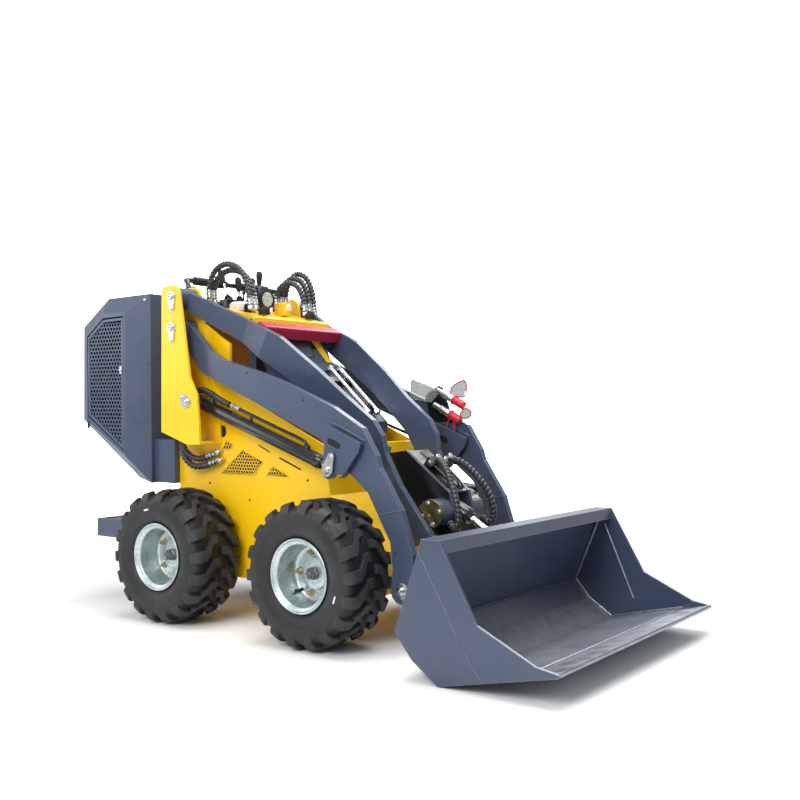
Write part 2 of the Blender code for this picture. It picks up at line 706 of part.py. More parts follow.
runs = []
for y in (-0.036, 0.036):
    runs.append([
        (0.500, y, 0.566), (0.524, y, 0.594), (0.578, y * 1.6, 0.588), (0.627, y * 2.3, 0.540), (0.660, y * 2.8, 0.460),
        (0.668, y * 2.9, 0.390), (0.652, y * 2.8, 0.362), (0.628, y * 2.7, 0.378),
    ])
ends = [prism("block", [(0.480, 0.5625), (0.508, 0.5413), (0.520, 0.5573), (0.492, 0.5785)], -0.050, 0.050)]
for side in (-1, 1):
    ends.append(box("end", 0.6195, 0.637, *span(side, 0.084, 0.112), 0.370, 0.408))
hoseSet("hitch_hoses", runs, ends)

# ---------------------------------------------------------------- joints and centring
pivots = {
    "lower_arms": (pinLower[0], 0, pinLower[1]),
    "upper_arms": (pinUpper[0], 0, pinUpper[1]),
    "hitch": (pinHitch[0], 0, pinHitch[1]),
    "bucket": (pinBucket[0], 0, pinBucket[1]),
    "tilt_barrel": (pinTiltBase[0], 0, pinTiltBase[1]),
    "tilt_rod": (pinTiltRod[0], 0, pinTiltRod[1]),
}
for word, side in sides:
    pivots["lift_barrel_" + word] = (pinCylBase[0], side * armMidY, pinCylBase[1])
    pivots["lift_rod_" + word] = (pinCylRod[0], side * armMidY, pinCylRod[1])
    pivots["grille_" + word] = (doorHingeX, side * doorY, 0.85)
    for end, x in (("front", wheelbase / 2), ("rear", -wheelbase / 2)):
        pivots["wheel_" + end + "_" + word] = (x, side * wheelY, tyreRadius)

riders = {
    "lower_arms": ["lower_arm_right", "lower_arm_left", "aux_couplers"],
    "upper_arms": ["upper_arm_right", "upper_arm_left", "cross_beam"],
    "hitch": ["hitch_frame", "hitch_hoses"],
    "bucket": ["bucket_shell", "cutting_edge"],
    "tilt_barrel": ["tilt_barrel"],
    "tilt_rod": ["tilt_rod"],
}
for word, side in sides:
    riders["lift_barrel_" + word] = ["lift_" + word + "_barrel"]
    riders["lift_rod_" + word] = ["lift_" + word + "_rod"]
    riders["grille_" + word] = ["grille_" + word]
    for end in ("front", "rear"):
        riders["wheel_" + end + "_" + word] = ["tyre_" + end + "_" + word, "rim_" + end + "_" + word]

shift = Vector((-midX, 0, 0))
moving = {name: body for body, names in riders.items() for name in names}
for obj in list(bpy.data.objects):
    here = shift.copy()
    if obj.name in moving:
        here += Vector(pivots[moving[obj.name]])
    for vertex in obj.data.vertices:
        vertex.co += shift - here
    obj.location = here

for body, names in riders.items():
    joint = bpy.data.objects.new("pivot_" + body, None)
    joint.location = Vector(pivots[body]) + shift
    joint.empty_display_size = 0.05
    bpy.context.scene.collection.objects.link(joint)
    for name in names:
        child = bpy.data.objects[name]
        child.parent = joint
        child.location = (0, 0, 0)
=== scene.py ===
import json
import math

import bpy
import numpy as np
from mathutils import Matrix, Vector


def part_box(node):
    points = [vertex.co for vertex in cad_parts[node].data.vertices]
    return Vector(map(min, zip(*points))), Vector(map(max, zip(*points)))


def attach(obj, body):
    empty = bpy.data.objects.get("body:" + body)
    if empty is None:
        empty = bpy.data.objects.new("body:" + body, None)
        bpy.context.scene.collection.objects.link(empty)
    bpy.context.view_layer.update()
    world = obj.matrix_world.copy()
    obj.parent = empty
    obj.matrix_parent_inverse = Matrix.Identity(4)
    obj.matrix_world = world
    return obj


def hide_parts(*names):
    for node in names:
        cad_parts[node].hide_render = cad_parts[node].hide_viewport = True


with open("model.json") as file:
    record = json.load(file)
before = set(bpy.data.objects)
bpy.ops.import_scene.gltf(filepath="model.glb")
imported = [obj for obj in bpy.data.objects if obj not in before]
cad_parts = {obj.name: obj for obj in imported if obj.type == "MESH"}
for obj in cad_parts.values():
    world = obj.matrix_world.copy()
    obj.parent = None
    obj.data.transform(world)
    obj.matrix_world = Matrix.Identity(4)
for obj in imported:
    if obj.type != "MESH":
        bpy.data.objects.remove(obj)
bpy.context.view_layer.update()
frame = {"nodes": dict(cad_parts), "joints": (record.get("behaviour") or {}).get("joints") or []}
nodes = frame["nodes"]
joints = {joint["name"]: joint for joint in frame["joints"]}
sides = (("right", -1), ("left", 1))


def pivot(joint):
    return np.array(joints[joint]["pos_m"], float)


wheelNames = [end + "_" + word for end in ("front", "rear") for word, side in sides]
midX = np.mean([pivot("wheel_%s_spin" % name)[0] for name in wheelNames])   # half way along the wheelbase


def at(x, y, z):
    # a place measured from mid wheelbase on the ground
    return np.array((midX + x, y, z), float)


# shapes: each is (points, list of face arrays), worked out on grids of two parameters

xAxis, yAxis, zAxis = np.eye(3)


def unit(v):
    v = np.asarray(v, float)
    return v / np.linalg.norm(v, axis=-1, keepdims=True)


def volumeOf(points, faceSets):
    total = 0.0
    for faces in faceSets:
        first = points[faces[:, 0]]
        for k in range(1, faces.shape[1] - 1):
            second, third = points[faces[:, k]], points[faces[:, k + 1]]
            total += np.einsum("ij,ij->i", first, np.cross(second, third)).sum()
    return total


def outward(points, faceSets):
    if volumeOf(points - points.mean(0), faceSets) < 0:
        faceSets = [faces[:, ::-1] for faces in faceSets]
    return points, faceSets


def gridFaces(rows, columns, closeRows=False, closeColumns=True):
    i, j = np.meshgrid(np.arange(rows if closeRows else rows - 1),
                       np.arange(columns if closeColumns else columns - 1), indexing="ij")
    k, m = (i + 1) % rows, (j + 1) % columns
    return np.stack([i * columns + j, i * columns + m, k * columns + m, k * columns + j], -1).reshape(-1, 4)


def joined(*shapes):
    points, faceSets, start = [], [], 0
    for pts, sets in shapes:
        points.append(pts)
        faceSets += [faces + start for faces in sets]
        start += len(pts)
    return np.concatenate(points), faceSets


def acrossFrom(axis):
    # two directions square to the axis and to each other
    axis = unit(axis)
    u = unit(np.cross(axis, zAxis if abs(axis[2]) < 0.9 else xAxis))
    return u, np.cross(axis, u)


def turned(profile, centre, axis, steps=32, closed=False):
    # point(i, t) = centre + axis * height_i + radius_i * (u cos t + v sin t), from (radius, height) pairs
    profile = np.asarray(profile, float)
    axis = unit(axis)
    u, v = acrossFrom(axis)
    t = np.arange(steps) * 2 * np.pi / steps
    ring = np.cos(t)[:, None] * u + np.sin(t)[:, None] * v
    poles = [] if closed else [k for k in (0, -1) if profile[k, 0] == 0]
    body = profile[(1 if 0 in poles else 0):(-1 if -1 in poles else None)]
    points = centre + body[:, 1, None, None] * axis + body[:, 0, None, None] * ring
    points = points.reshape(-1, 3)
    faceSets = [gridFaces(len(body), steps, closed, True)]
    around = np.arange(steps)
    for k in poles:
        pole = len(points)
        points = np.vstack([points, centre + axis * profile[k, 1]])
        row = around if k == 0 else (len(body) - 1) * steps + around
        fan = np.stack([np.full(steps, pole), np.roll(row, -1), row], -1)
        faceSets.append(fan if k == 0 else fan[:, ::-1])
    return outward(points, faceSets)


def swept(path, radius, ref=yAxis, sides=12, twist=None):
    # point(s, t) = path(s) + radius(s, t) * (a cos t + b sin t), a and b square to the path; both ends capped
    path = np.asarray(path, float)
    along = unit(np.gradient(path, axis=0))
    a = unit(np.cross(along, ref))
    b = np.cross(along, a)
    t = np.arange(sides) * 2 * np.pi / sides
    radius = np.broadcast_to(np.asarray(radius, float).reshape(-1, 1), (len(path), 1))
    if twist is not None:
        radius = radius * twist(t[None, :], np.arange(len(path))[:, None])
    else:
        radius = np.repeat(radius, sides, 1)
    points = path[:, None] + radius[..., None] * (
        np.cos(t)[None, :, None] * a[:, None] + np.sin(t)[None, :, None] * b[:, None]
    )
    caps = np.arange(sides)[None]
    faceSets = [gridFaces(len(path), sides), caps[:, ::-1], caps + (len(path) - 1) * sides]
    return outward(points.reshape(-1, 3), faceSets)


def straight(start, end):
    # an even path from one point to the other
    return evenly(np.stack([start, end]), 0.01)


def curveThrough(points, parts=12):
    # A smooth curve through the points: on each stretch a cubic blend of the four nearest points.
    p = np.asarray(points, float)
    p = np.vstack([2 * p[0] - p[1], p, 2 * p[-1] - p[-2]])
    t = (np.arange(parts) / parts)[:, None, None]
    a, b, c, d = p[:-3], p[1:-2], p[2:-1], p[3:]
    out = 0.5 * (2 * b + (c - a) * t + (2 * a - 5 * b + 4 * c - d) * t ** 2
                 + (3 * b - 3 * c + d - a) * t ** 3)
    return np.vstack([out.transpose(1, 0, 2).reshape(-1, 3), p[-2]])


def evenly(path, step):
    # the same path with its points a step apart
    lengths = np.concatenate([[0], np.cumsum(np.linalg.norm(np.diff(path, axis=0), axis=1))])
    at = np.linspace(0, lengths[-1], max(4, int(lengths[-1] / step)))
    return np.stack([np.interp(at, lengths, path[:, k]) for k in range(3)], -1)


def towards(angle, u=xAxis, v=zAxis):
    # the direction that lies the angle round from u towards v
    return math.cos(angle) * u + math.sin(angle) * v


def squareTo(line, near=zAxis):
    # the direction square to the line and to Y, on the side of near
    up = np.cross(line, yAxis)
    return up * np.sign(up @ near)


def inset(outline, by):
    # each corner moved inwards along its bisector, so that every edge moves in by the same distance
    edge = unit(np.roll(outline, -1, 0) - outline)
    normal = np.stack([-edge[:, 1], edge[:, 0]], -1)
    before = np.roll(normal, 1, 0)
    x, y = outline.T
    turn = np.sign(np.sum(x * np.roll(y, -1) - y * np.roll(x, -1)))
    return outline + turn * by * (normal + before) / (1 + np.sum(normal * before, 1))[:, None].clip(0.3)


def slab(outline, low, high, origin=(0, 0, 0), u=xAxis, v=zAxis, w=yAxis, bevel=0.0008):
    # the outline carried along w from low to high, its rims chamfered: four rings and two caps
    outline = np.asarray(outline, float)
    small = inset(outline, bevel)
    rings = []
    for flat, h in ((small, low), (outline, low + bevel), (outline, high - bevel), (small, high)):
        rings.append(origin + flat[:, :1] * u + flat[:, 1:] * v + h * np.asarray(w))
    n = len(outline)
    caps = np.arange(n)[None]
    return outward(np.vstack(rings), [gridFaces(4, n), caps[:, ::-1], caps + 3 * n])


def band(rings, origin, u, v, w):
    # a closed strip through the rings, each an outline at its own height; the last ring joins the first
    points = [origin + flat[:, :1] * u + flat[:, 1:] * v + h * w for flat, h in rings]
    return outward(np.vstack(points), [gridFaces(len(rings), len(rings[0][0]), True)])


def arcPoints(centre, radius, start, end, steps):
    a = np.radians(np.linspace(start, end, steps + 1))
    return np.stack([centre[0] + radius * np.cos(a), centre[1] + radius * np.sin(a)], -1)


def softRect(width, depth, radius, steps=4):
    parts = []
    for k, (sx, sy) in enumerate(((1, 1), (-1, 1), (-1, -1), (1, -1))):
        centre = (sx * (width / 2 - radius), sy * (depth / 2 - radius))
        parts.append(arcPoints(centre, radius, 90 * k, 90 * k + 90, steps))
    return np.vstack(parts)


def perforated(outline, pitch, hole, low, high, origin, u, v, w, margin=0.0):
    # a sheet of hexagonal cells with twelve-sided holes, wherever a cell's middle lies inside the outline
    outline = np.asarray(outline, float)
    lo, hi = outline.min(0), outline.max(0)
    rows = np.arange(lo[1], hi[1], pitch * math.sqrt(3) / 2)
    cols = np.arange(lo[0], hi[0] + pitch, pitch)
    cx = cols[None] + (np.arange(len(rows)) % 2)[:, None] * pitch / 2
    cells = np.stack([cx, np.broadcast_to(rows[:, None], cx.shape)], -1).reshape(-1, 2)
    edge = inset(outline, margin) if margin else outline
    inside = np.zeros(len(cells), bool)
    for a, b in zip(edge, np.roll(edge, -1, 0)):
        cross = (a[1] > cells[:, 1]) != (b[1] > cells[:, 1])
        reach = (b[0] - a[0]) * (cells[:, 1] - a[1]) / (b[1] - a[1] if b[1] != a[1] else 1e-9) + a[0]
        inside ^= cross & (cells[:, 0] < reach)
    cells = cells[inside]
    t = np.arange(12) * np.pi / 6 + np.pi / 6
    rim = pitch / math.sqrt(3) * np.where(np.arange(12) % 2 == 0, 1.0, math.cos(math.pi / 6))
    circle = np.stack([np.cos(t), np.sin(t)], -1)
    flat = np.stack([circle * rim[:, None], circle * hole], 0)
    flat = np.concatenate([flat, flat[::-1]], 0)
    heights = np.array([high, high, low, low])
    pts = cells[:, None, None] + flat[None]
    points = origin + pts[..., :1] * u + pts[..., 1:] * v + heights[None, :, None, None] * np.asarray(w)
    one = gridFaces(3, 12)
    faces = (one[None] + np.arange(len(cells))[:, None, None] * 48).reshape(-1, 4)
    points = points.reshape(-1, 3)
    if np.dot(np.cross(u, v), w) < 0:
        faces = faces[:, ::-1]
    merged = np.round(points * 2e5).astype(np.int64)        # cells share the points on their borders
    first, back = np.unique(merged, axis=0, return_index=True, return_inverse=True)[1:]
    return points[first], [back.reshape(-1)[faces]]


def made(name, shape, finish, body, angle=35, replaces=()):
    # puts a shape, or a list of them as one, into the scene, riding on its body
    points, faceSets = joined(*shape) if isinstance(shape, list) else shape
    mesh = bpy.data.meshes.new(name)
    corners = np.concatenate([faces.ravel() for faces in faceSets]).astype(np.int32)
    sizes = np.concatenate([np.full(len(faces), faces.shape[1]) for faces in faceSets]).astype(np.int32)
    mesh.vertices.add(len(points))
    mesh.vertices.foreach_set("co", points.astype(np.float32).ravel())
    mesh.loops.add(len(corners))
    mesh.loops.foreach_set("vertex_index", corners)
    mesh.polygons.add(len(sizes))
    mesh.polygons.foreach_set("loop_start", np.concatenate([[0], np.cumsum(sizes)[:-1]]).astype(np.int32))
    mesh.polygons.foreach_set("use_smooth", np.ones(len(sizes), bool))
    mesh.update(calc_edges=True)
    mesh.set_sharp_from_angle(angle=math.radians(angle))
    piece = bpy.data.objects.new(name, mesh)
    bpy.context.scene.collection.objects.link(piece)
    mesh.materials.append(finish)
    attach(piece, body)
    if replaces:
        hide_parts(*replaces)
    return piece


# finishes

class Finish:       # a material being wired: each call adds one node and gives back its output
    def __init__(self, name, roughness, metallic=0.0, coat=0.0):
        self.material = bpy.data.materials.new(name)
        self.material.use_nodes = True
        self.tree = self.material.node_tree
        self.shader = self.tree.nodes["Principled BSDF"]
        self.shader.inputs["Roughness"].default_value = roughness
        self.shader.inputs["Metallic"].default_value = metallic
        self.shader.inputs["Coat Weight"].default_value = coat
        self.place = self.add("ShaderNodeTexCoord").outputs["Object"]

    def add(self, kind, **values):
        node = self.tree.nodes.new(kind)
        for key, value in values.items():
            setattr(node, key, value)
        return node

    def link(self, out, into):
        self.tree.links.new(out, into)

    def noise(self, scale, detail=3.0, stretch=None):
        node = self.add("ShaderNodeTexNoise")
        node.inputs["Scale"].default_value = scale
        node.inputs["Detail"].default_value = detail
        place = self.place
        if stretch:
            mapping = self.add("ShaderNodeMapping")
            mapping.inputs["Scale"].default_value = stretch
            self.link(place, mapping.inputs["Vector"])
            place = mapping.outputs["Vector"]
        self.link(place, node.inputs["Vector"])
        return node.outputs["Fac"]

    def cells(self, scale):
        node = self.add("ShaderNodeTexVoronoi")
        node.inputs["Scale"].default_value = scale
        self.link(self.place, node.inputs["Vector"])
        return node.outputs["Color"]

    def ramp(self, fac, low, high, start, end):
        node = self.add("ShaderNodeMapRange")
        for key, value in (("From Min", low), ("From Max", high), ("To Min", start), ("To Max", end)):
            node.inputs[key].default_value = value
        self.link(fac, node.inputs["Value"])
        return node.outputs["Result"]

    def math(self, operation, a, b):
        node = self.add("ShaderNodeMath", operation=operation)
        for k, value in enumerate((a, b)):
            if isinstance(value, (int, float)):
                node.inputs[k].default_value = value
            else:
                self.link(value, node.inputs[k])
        return node.outputs[0]

    def blend(self, fac, a, b):
        node = self.add("ShaderNodeMix", data_type="RGBA")
        self.link(fac, node.inputs["Factor"])
        for key, value in (("A", a), ("B", b)):
            socket = [s for s in node.inputs if s.name == key and s.type == "RGBA"][0]
            if isinstance(value, tuple):
                socket.default_value = (*value, 1)
            else:
                self.link(value, socket)
        return [s for s in node.outputs if s.type == "RGBA"][0]

    def colour(self, out):
        self.link(out, self.shader.inputs["Base Color"])

    def rough(self, out):
        self.link(out, self.shader.inputs["Roughness"])

    def rounded(self, radius):
        # the normal as if every edge had a small radius, and how near an edge a place is
        bevel = self.add("ShaderNodeBevel", samples=4)
        bevel.inputs["Radius"].default_value = radius
        true = self.add("ShaderNodeNewGeometry").outputs["Normal"]
        dot = self.add("ShaderNodeVectorMath", operation="DOT_PRODUCT")
        self.link(bevel.outputs[0], dot.inputs[0])
        self.link(true, dot.inputs[1])
        return bevel.outputs[0], self.ramp(dot.outputs["Value"], 0.995, 0.9, 0.0, 1.0)

    def bump(self, height, strength, distance, normal=None):
        node = self.add("ShaderNodeBump")
        node.inputs["Strength"].default_value = strength
        node.inputs["Distance"].default_value = distance
        self.link(height, node.inputs["Height"])
        if normal is not None:
            self.link(normal, node.inputs["Normal"])
        self.link(node.outputs["Normal"], self.shader.inputs["Normal"])


paintLook = {"edgeRadius": 0.0022, "peel": 420.0, "cloud": 3.5, "scratch": 60.0}


def paint(name, base, shade, edge, roughness=0.38, coat=0.25, edgeAmount=0.55):
    # powder coat: soft clouding, orange peel, thin lighter edges that are partly wear and partly a painted
    # highlight, and a few fine scratches
    f = Finish(name, roughness, coat=coat)
    f.shader.inputs["Coat Roughness"].default_value = 0.22
    normal, nearEdge = f.rounded(paintLook["edgeRadius"])
    cloud = f.ramp(f.noise(paintLook["cloud"], 4), 0.32, 0.7, 0.0, 1.0)
    body = f.blend(cloud, base, shade)
    speck = f.ramp(f.noise(paintLook["scratch"], 6, (1, 1, 6)), 0.7, 0.78, 0.0, 0.12)
    body = f.blend(speck, body, edge)
    # edges lightened towards the edge colour: partly wear, partly a painted highlight
    edgeWearAndHighlight = f.math("MULTIPLY", nearEdge, f.ramp(f.noise(38, 4), 0.3, 0.62, 0.15, edgeAmount))
    f.colour(f.blend(edgeWearAndHighlight, body, edge))
    f.rough(f.ramp(f.noise(14, 5), 0.3, 0.7, roughness - 0.07, roughness + 0.1))
    f.bump(f.noise(paintLook["peel"], 2), 0.1, 0.0006, normal)
    return f.material


def metal(name, base, shade, roughness, scale=90.0, spangle=False):
    # bare or plated metal: broken tint, fine grain, and crystal spangle on galvanised sheet
    f = Finish(name, roughness, metallic=1.0)
    normal, nearEdge = f.rounded(0.0012)
    mottled = f.cells(scale) if spangle else f.noise(scale, 5)
    tone = f.ramp(mottled, 0.25, 0.75, 0.0, 1.0)
    f.colour(f.blend(tone, base, shade))
    f.rough(f.ramp(f.noise(scale * 0.6, 4), 0.3, 0.7, roughness - 0.08, roughness + 0.12))
    f.bump(f.noise(scale * 5, 3), 0.12, 0.0004, normal)
    return f.material


def rubber(name, base, dust, roughness, grain=300.0, dusty=0.5, tread=False):
    # fine grain with pale dust in patches and paler edges; a tyre gets painted shade down between its lugs,
    # and part way on its sidewall
    f = Finish(name, roughness)
    f.shader.inputs["Specular IOR Level"].default_value = 0.35
    normal, nearEdge = f.rounded(0.0014)
    patches = f.ramp(f.noise(9, 7), 0.42, 0.74, 0.0, dusty)
    # edges lighter, towards the dust colour
    paleEdges = f.math("MULTIPLY", nearEdge, 0.45)
    shade = f.blend(f.math("MAXIMUM", patches, paleEdges), base, dust)
    if tread:
        # painted shade: darkest down between the lugs, part way on the sidewall
        height = f.add("ShaderNodeAttribute", attribute_name="tread").outputs["Fac"]
        shade = f.blend(f.ramp(height, 0.0, 1.0, 1.0, 0.0), shade, tuple(0.45 * c for c in base))
    f.colour(shade)
    f.rough(f.ramp(f.noise(35, 4), 0.3, 0.7, roughness - 0.08, roughness + 0.1))
    f.bump(f.noise(grain, 5), 0.35, 0.001, normal)
    return f.material


def plastic(name, base, shade, roughness, grain=700.0):
    f = Finish(name, roughness)
    normal, nearEdge = f.rounded(0.001)
    f.colour(f.blend(f.ramp(f.noise(24, 4), 0.35, 0.68, 0.0, 1.0), base, shade))
    f.rough(f.ramp(f.noise(40, 3), 0.3, 0.7, roughness - 0.05, roughness + 0.08))
    f.bump(f.noise(grain, 2), 0.2, 0.0004, normal)
    return f.material


slate = paint("slate_powder_coat", (0.057, 0.078, 0.133), (0.047, 0.066, 0.115), (0.3, 0.35, 0.44), 0.32, 0.2)
yellow = paint("yellow_gloss_coat", (0.95, 0.585, 0.004), (0.9, 0.52, 0.003), (1.0, 0.76, 0.14), 0.32, 0.15,
               0.3)
crimson = paint("crimson_gloss_coat", (0.5, 0.012, 0.05), (0.42, 0.01, 0.042), (0.75, 0.2, 0.26), 0.3, 0.3)
blackPaint = paint("black_gloss_coat", (0.006, 0.0065, 0.0075), (0.01, 0.011, 0.013), (0.11, 0.11, 0.12), 0.2,
                   0.35)
tyreRubber = rubber("tyre_tread_rubber", (0.021, 0.022, 0.024), (0.06, 0.063, 0.068), 0.5, tread=True)
hoseRubber = rubber("hose_cover_rubber", (0.009, 0.0095, 0.011), (0.045, 0.046, 0.05), 0.46, 500, 0.35)
wrapPlastic = plastic("spiral_guard_plastic", (0.022, 0.025, 0.031), (0.04, 0.044, 0.053), 0.27)
foam = rubber("grip_foam", (0.014, 0.015, 0.017), (0.04, 0.042, 0.046), 0.62, 900, 0.3)
galvanised = metal("galvanised_rim", (0.58, 0.65, 0.65), (0.46, 0.54, 0.55), 0.42, 130, True)
zincPlate = metal("zinc_plate", (0.66, 0.68, 0.68), (0.5, 0.53, 0.54), 0.28, 160)
yellowZinc = metal("yellow_zinc_plate", (0.52, 0.4, 0.2), (0.38, 0.3, 0.18), 0.32, 200)
oliveBrass = metal("olive_passivated_disc", (0.27, 0.22, 0.11), (0.2, 0.16, 0.085), 0.36, 70)
chrome = metal("chromed_rod", (0.62, 0.63, 0.65), (0.52, 0.53, 0.56), 0.12, 60)
castIron = metal("cast_iron_black", (0.03, 0.031, 0.034), (0.06, 0.062, 0.067), 0.5, 120)
hubSteel = metal("hub_nut_steel", (0.2, 0.21, 0.21), (0.12, 0.125, 0.13), 0.38, 150)
weldSteel = metal("bright_weld_steel", (0.66, 0.68, 0.72), (0.4, 0.42, 0.46), 0.34, 110)
wornSteel = metal("worn_edge_steel", (0.36, 0.38, 0.42), (0.2, 0.22, 0.27), 0.42, 26)
# painted shade: a near-black finish for sheets laid in holes, slots and behind meshes, where only shade shows
holeShade = plastic("painted_hole_shade", (0.006, 0.006, 0.007), (0.01, 0.01, 0.012), 0.85)
whitePlastic = plastic("white_tank_plastic", (0.74, 0.75, 0.72), (0.66, 0.67, 0.64), 0.4)
redCap = plastic("red_cap_plastic", (0.62, 0.022, 0.04), (0.5, 0.016, 0.03), 0.3)
greenCap = plastic("green_plug_plastic", (0.02, 0.22, 0.14), (0.015, 0.17, 0.11), 0.35)
whitePaintMark = plastic("white_paint_mark", (0.7, 0.7, 0.68), (0.6, 0.6, 0.58), 0.6)


def clearPlate():
    f = Finish("clear_guard_plate", 0.12)
    f.shader.inputs["Transmission Weight"].default_value = 0.85
    f.shader.inputs["IOR"].default_value = 1.35
    f.colour(f.blend(f.ramp(f.noise(20, 3), 0.3, 0.7, 0, 1), (0.86, 0.9, 0.88), (0.74, 0.8, 0.78)))
    f.bump(f.noise(180, 2), 0.1, 0.0004)
    return f.material


def lampLens():
    f = Finish("lamp_lens", 0.1, coat=0.8)
    f.colour(f.blend(f.ramp(f.noise(120, 2), 0.4, 0.6, 0, 1), (0.62, 0.65, 0.66), (0.42, 0.45, 0.47)))
    f.bump(f.noise(260, 2), 0.3, 0.0006)
    return f.material


def bucketFinish():
    # slate coat on the outside; where the floor faces up and lies low, the coat is scuffed to grey steel
    f = Finish("bucket_scuffed_coat", 0.32, coat=0.2)
    f.shader.inputs["Coat Roughness"].default_value = 0.2
    normal, nearEdge = f.rounded(0.0022)
    body = f.blend(f.ramp(f.noise(3.5, 4), 0.32, 0.7, 0, 1), (0.046, 0.064, 0.114), (0.038, 0.054, 0.097))
    apart = f.add("ShaderNodeSeparateXYZ")
    f.link(f.place, apart.inputs[0])
    facing = f.add("ShaderNodeSeparateXYZ")
    f.link(f.add("ShaderNodeNewGeometry").outputs["Normal"], facing.inputs[0])
    up = f.ramp(facing.outputs["Z"], 0.55, 0.9, 0.0, 1.0)
    low = f.ramp(apart.outputs["Z"], 0.16, 0.07, 0.0, 1.0)
    streak = f.ramp(f.noise(5, 8), 0.26, 0.5, 0.55, 1.0)
    scuffed = f.math("MULTIPLY", f.math("MULTIPLY", up, low), streak)
    steel = f.blend(f.ramp(f.noise(34, 9, (0.7, 1.0, 1)), 0.3, 0.7, 0, 1), (0.15, 0.167, 0.196),
                    (0.235, 0.253, 0.282))
    body = f.blend(scuffed, body, steel)
    # edges lightened towards a pale slate: partly wear, partly a painted highlight
    edgeWearAndHighlight = f.math("MULTIPLY", nearEdge, f.ramp(f.noise(38, 4), 0.3, 0.62, 0.25, 0.8))
    f.colour(f.blend(edgeWearAndHighlight, body, (0.36, 0.4, 0.47)))
    f.rough(f.ramp(f.noise(6, 3), 0.2, 0.8, 0.28, 0.36))
    f.bump(f.noise(260, 2), 0.05, 0.0004, normal)
    return f.material


bucketCoat, clearGuard, lampGlass = bucketFinish(), clearPlate(), lampLens()
print("finishes ready")

carried = {
    slate: "front_guard hood step_platform hitch_frame "
           "lower_arm_right lower_arm_left upper_arm_right upper_arm_left",
    yellow: "body_tub post_right post_left console_deck",
    crimson: "cross_beam",
    bucketCoat: "bucket_shell",
    wornSteel: "cutting_edge",
    castIron: "engine axle_front axle_rear",
}
for finish, names in carried.items():
    for name in names.split():
        mesh = nodes[name].data
        mesh.materials.clear()
        mesh.materials.append(finish)


# fastenings

def bolt(centre, axis, across=0.009, height=0.006, washer=1.7):
    # A washer and a six-sided head with a domed top.
    axis = unit(axis)
    r = across / 2 * 1.12
    head = [(r, 0.0012), (r, height - r * 0.2), (r * 0.82, height), (0, height)]
    ring = [(r * washer, 0), (r * washer, 0.001), (r * washer * 0.9, 0.0015), (0, 0.0015)]
    return joined(turned(ring, centre, axis, 20), turned([(0, 0.001)] + head, centre, axis, 6))


def pinFlag(centre, axis, tail, length=0.044, big=0.021, small=0.011):
    # A teardrop keeper plate: the hull of two circles, with the pin's end in one and a bolt in the other.
    axis, tail = unit(axis), unit(tail)
    v = np.cross(axis, tail)
    lean = math.degrees(math.acos((big - small) / length))
    outline = np.vstack([
        arcPoints((0, 0), big, lean, 360 - lean, 22), arcPoints((length, 0), small, -lean, lean, 8),
    ])
    plate = slab(outline, 0, 0.005, centre, tail, v, axis, 0.001)
    pin = turned([(0, 0.014), (0.009, 0.014), (0.0125, 0.011), (0.0125, 0.0)], centre, axis, 24)
    nipple = turned([(0, 0.0175), (0.003, 0.0175), (0.0042, 0.013), (0.0042, 0.012)], centre, axis, 10)
    return joined(plate, pin, nipple, bolt(centre + tail * length + axis * 0.005, axis, 0.011, 0.006, 1.2))


def weld(path, radius=0.0035, pitch=0.005, ref=yAxis):
    # A round bead along the path, its radius rising and falling once for each ripple.
    path = evenly(np.asarray(path, float), pitch / 4)
    ripple = 1 + 0.16 * np.abs(np.sin(np.arange(len(path)) * np.pi / 4))
    return swept(path, radius * ripple, ref, 6)


# tyres

tyreLook = {
    "lugs": 18,
    # from the crown outwards: |y|, radius of the carcass, |y| and radius of a lug's top, how far round (in
    # pitches) the lug leans, and its width (in pitches)
    "rows": np.array([
        (0.0, 0.215, 0.0, 0.215, -0.62, 0.42), (0.006, 0.215, 0.006, 0.215, -0.62, 0.42),
        (0.007, 0.215, 0.009, 0.2283, -0.61, 0.41), (0.022, 0.2148, 0.022, 0.2285, -0.6, 0.42),
        (0.034, 0.2146, 0.034, 0.2285, -0.55, 0.43), (0.047, 0.2142, 0.047, 0.2284, -0.3, 0.45),
        (0.061, 0.2138, 0.061, 0.2282, -0.03, 0.48), (0.072, 0.2125, 0.072, 0.2268, 0.01, 0.51),
        (0.083, 0.21, 0.0835, 0.2242, 0.0, 0.53), (0.091, 0.2055, 0.095, 0.218, 0.02, 0.54),
        (0.0975, 0.199, 0.1025, 0.2085, 0.03, 0.55), (0.1015, 0.1925, 0.106, 0.1985, 0.04, 0.55),
        (0.1038, 0.1875, 0.1038, 0.1875, 0.04, 0.55), (0.106, 0.178, 0.106, 0.178, 0.04, 0.55),
        (0.1068, 0.168, 0.1068, 0.168, 0.04, 0.55), (0.1069, 0.1625, 0.1069, 0.1625, 0.04, 0.55),
        (0.1056, 0.161, 0.1056, 0.161, 0.04, 0.55), (0.105, 0.153, 0.105, 0.153, 0.04, 0.55),
        (0.1028, 0.144, 0.1028, 0.144, 0.04, 0.55), (0.099, 0.135, 0.099, 0.135, 0.04, 0.55),
        (0.096, 0.129, 0.096, 0.129, 0.04, 0.55), (0.0966, 0.1268, 0.0966, 0.1268, 0.04, 0.55),
        (0.0925, 0.1228, 0.0925, 0.1228, 0.04, 0.55), (0.0888, 0.1192, 0.0888, 0.1192, 0.04, 0.55),
        (0.086, 0.1164, 0.086, 0.1164, 0.04, 0.55), (0.0842, 0.1013, 0.0842, 0.1013, 0.04, 0.55),
    ]),
}


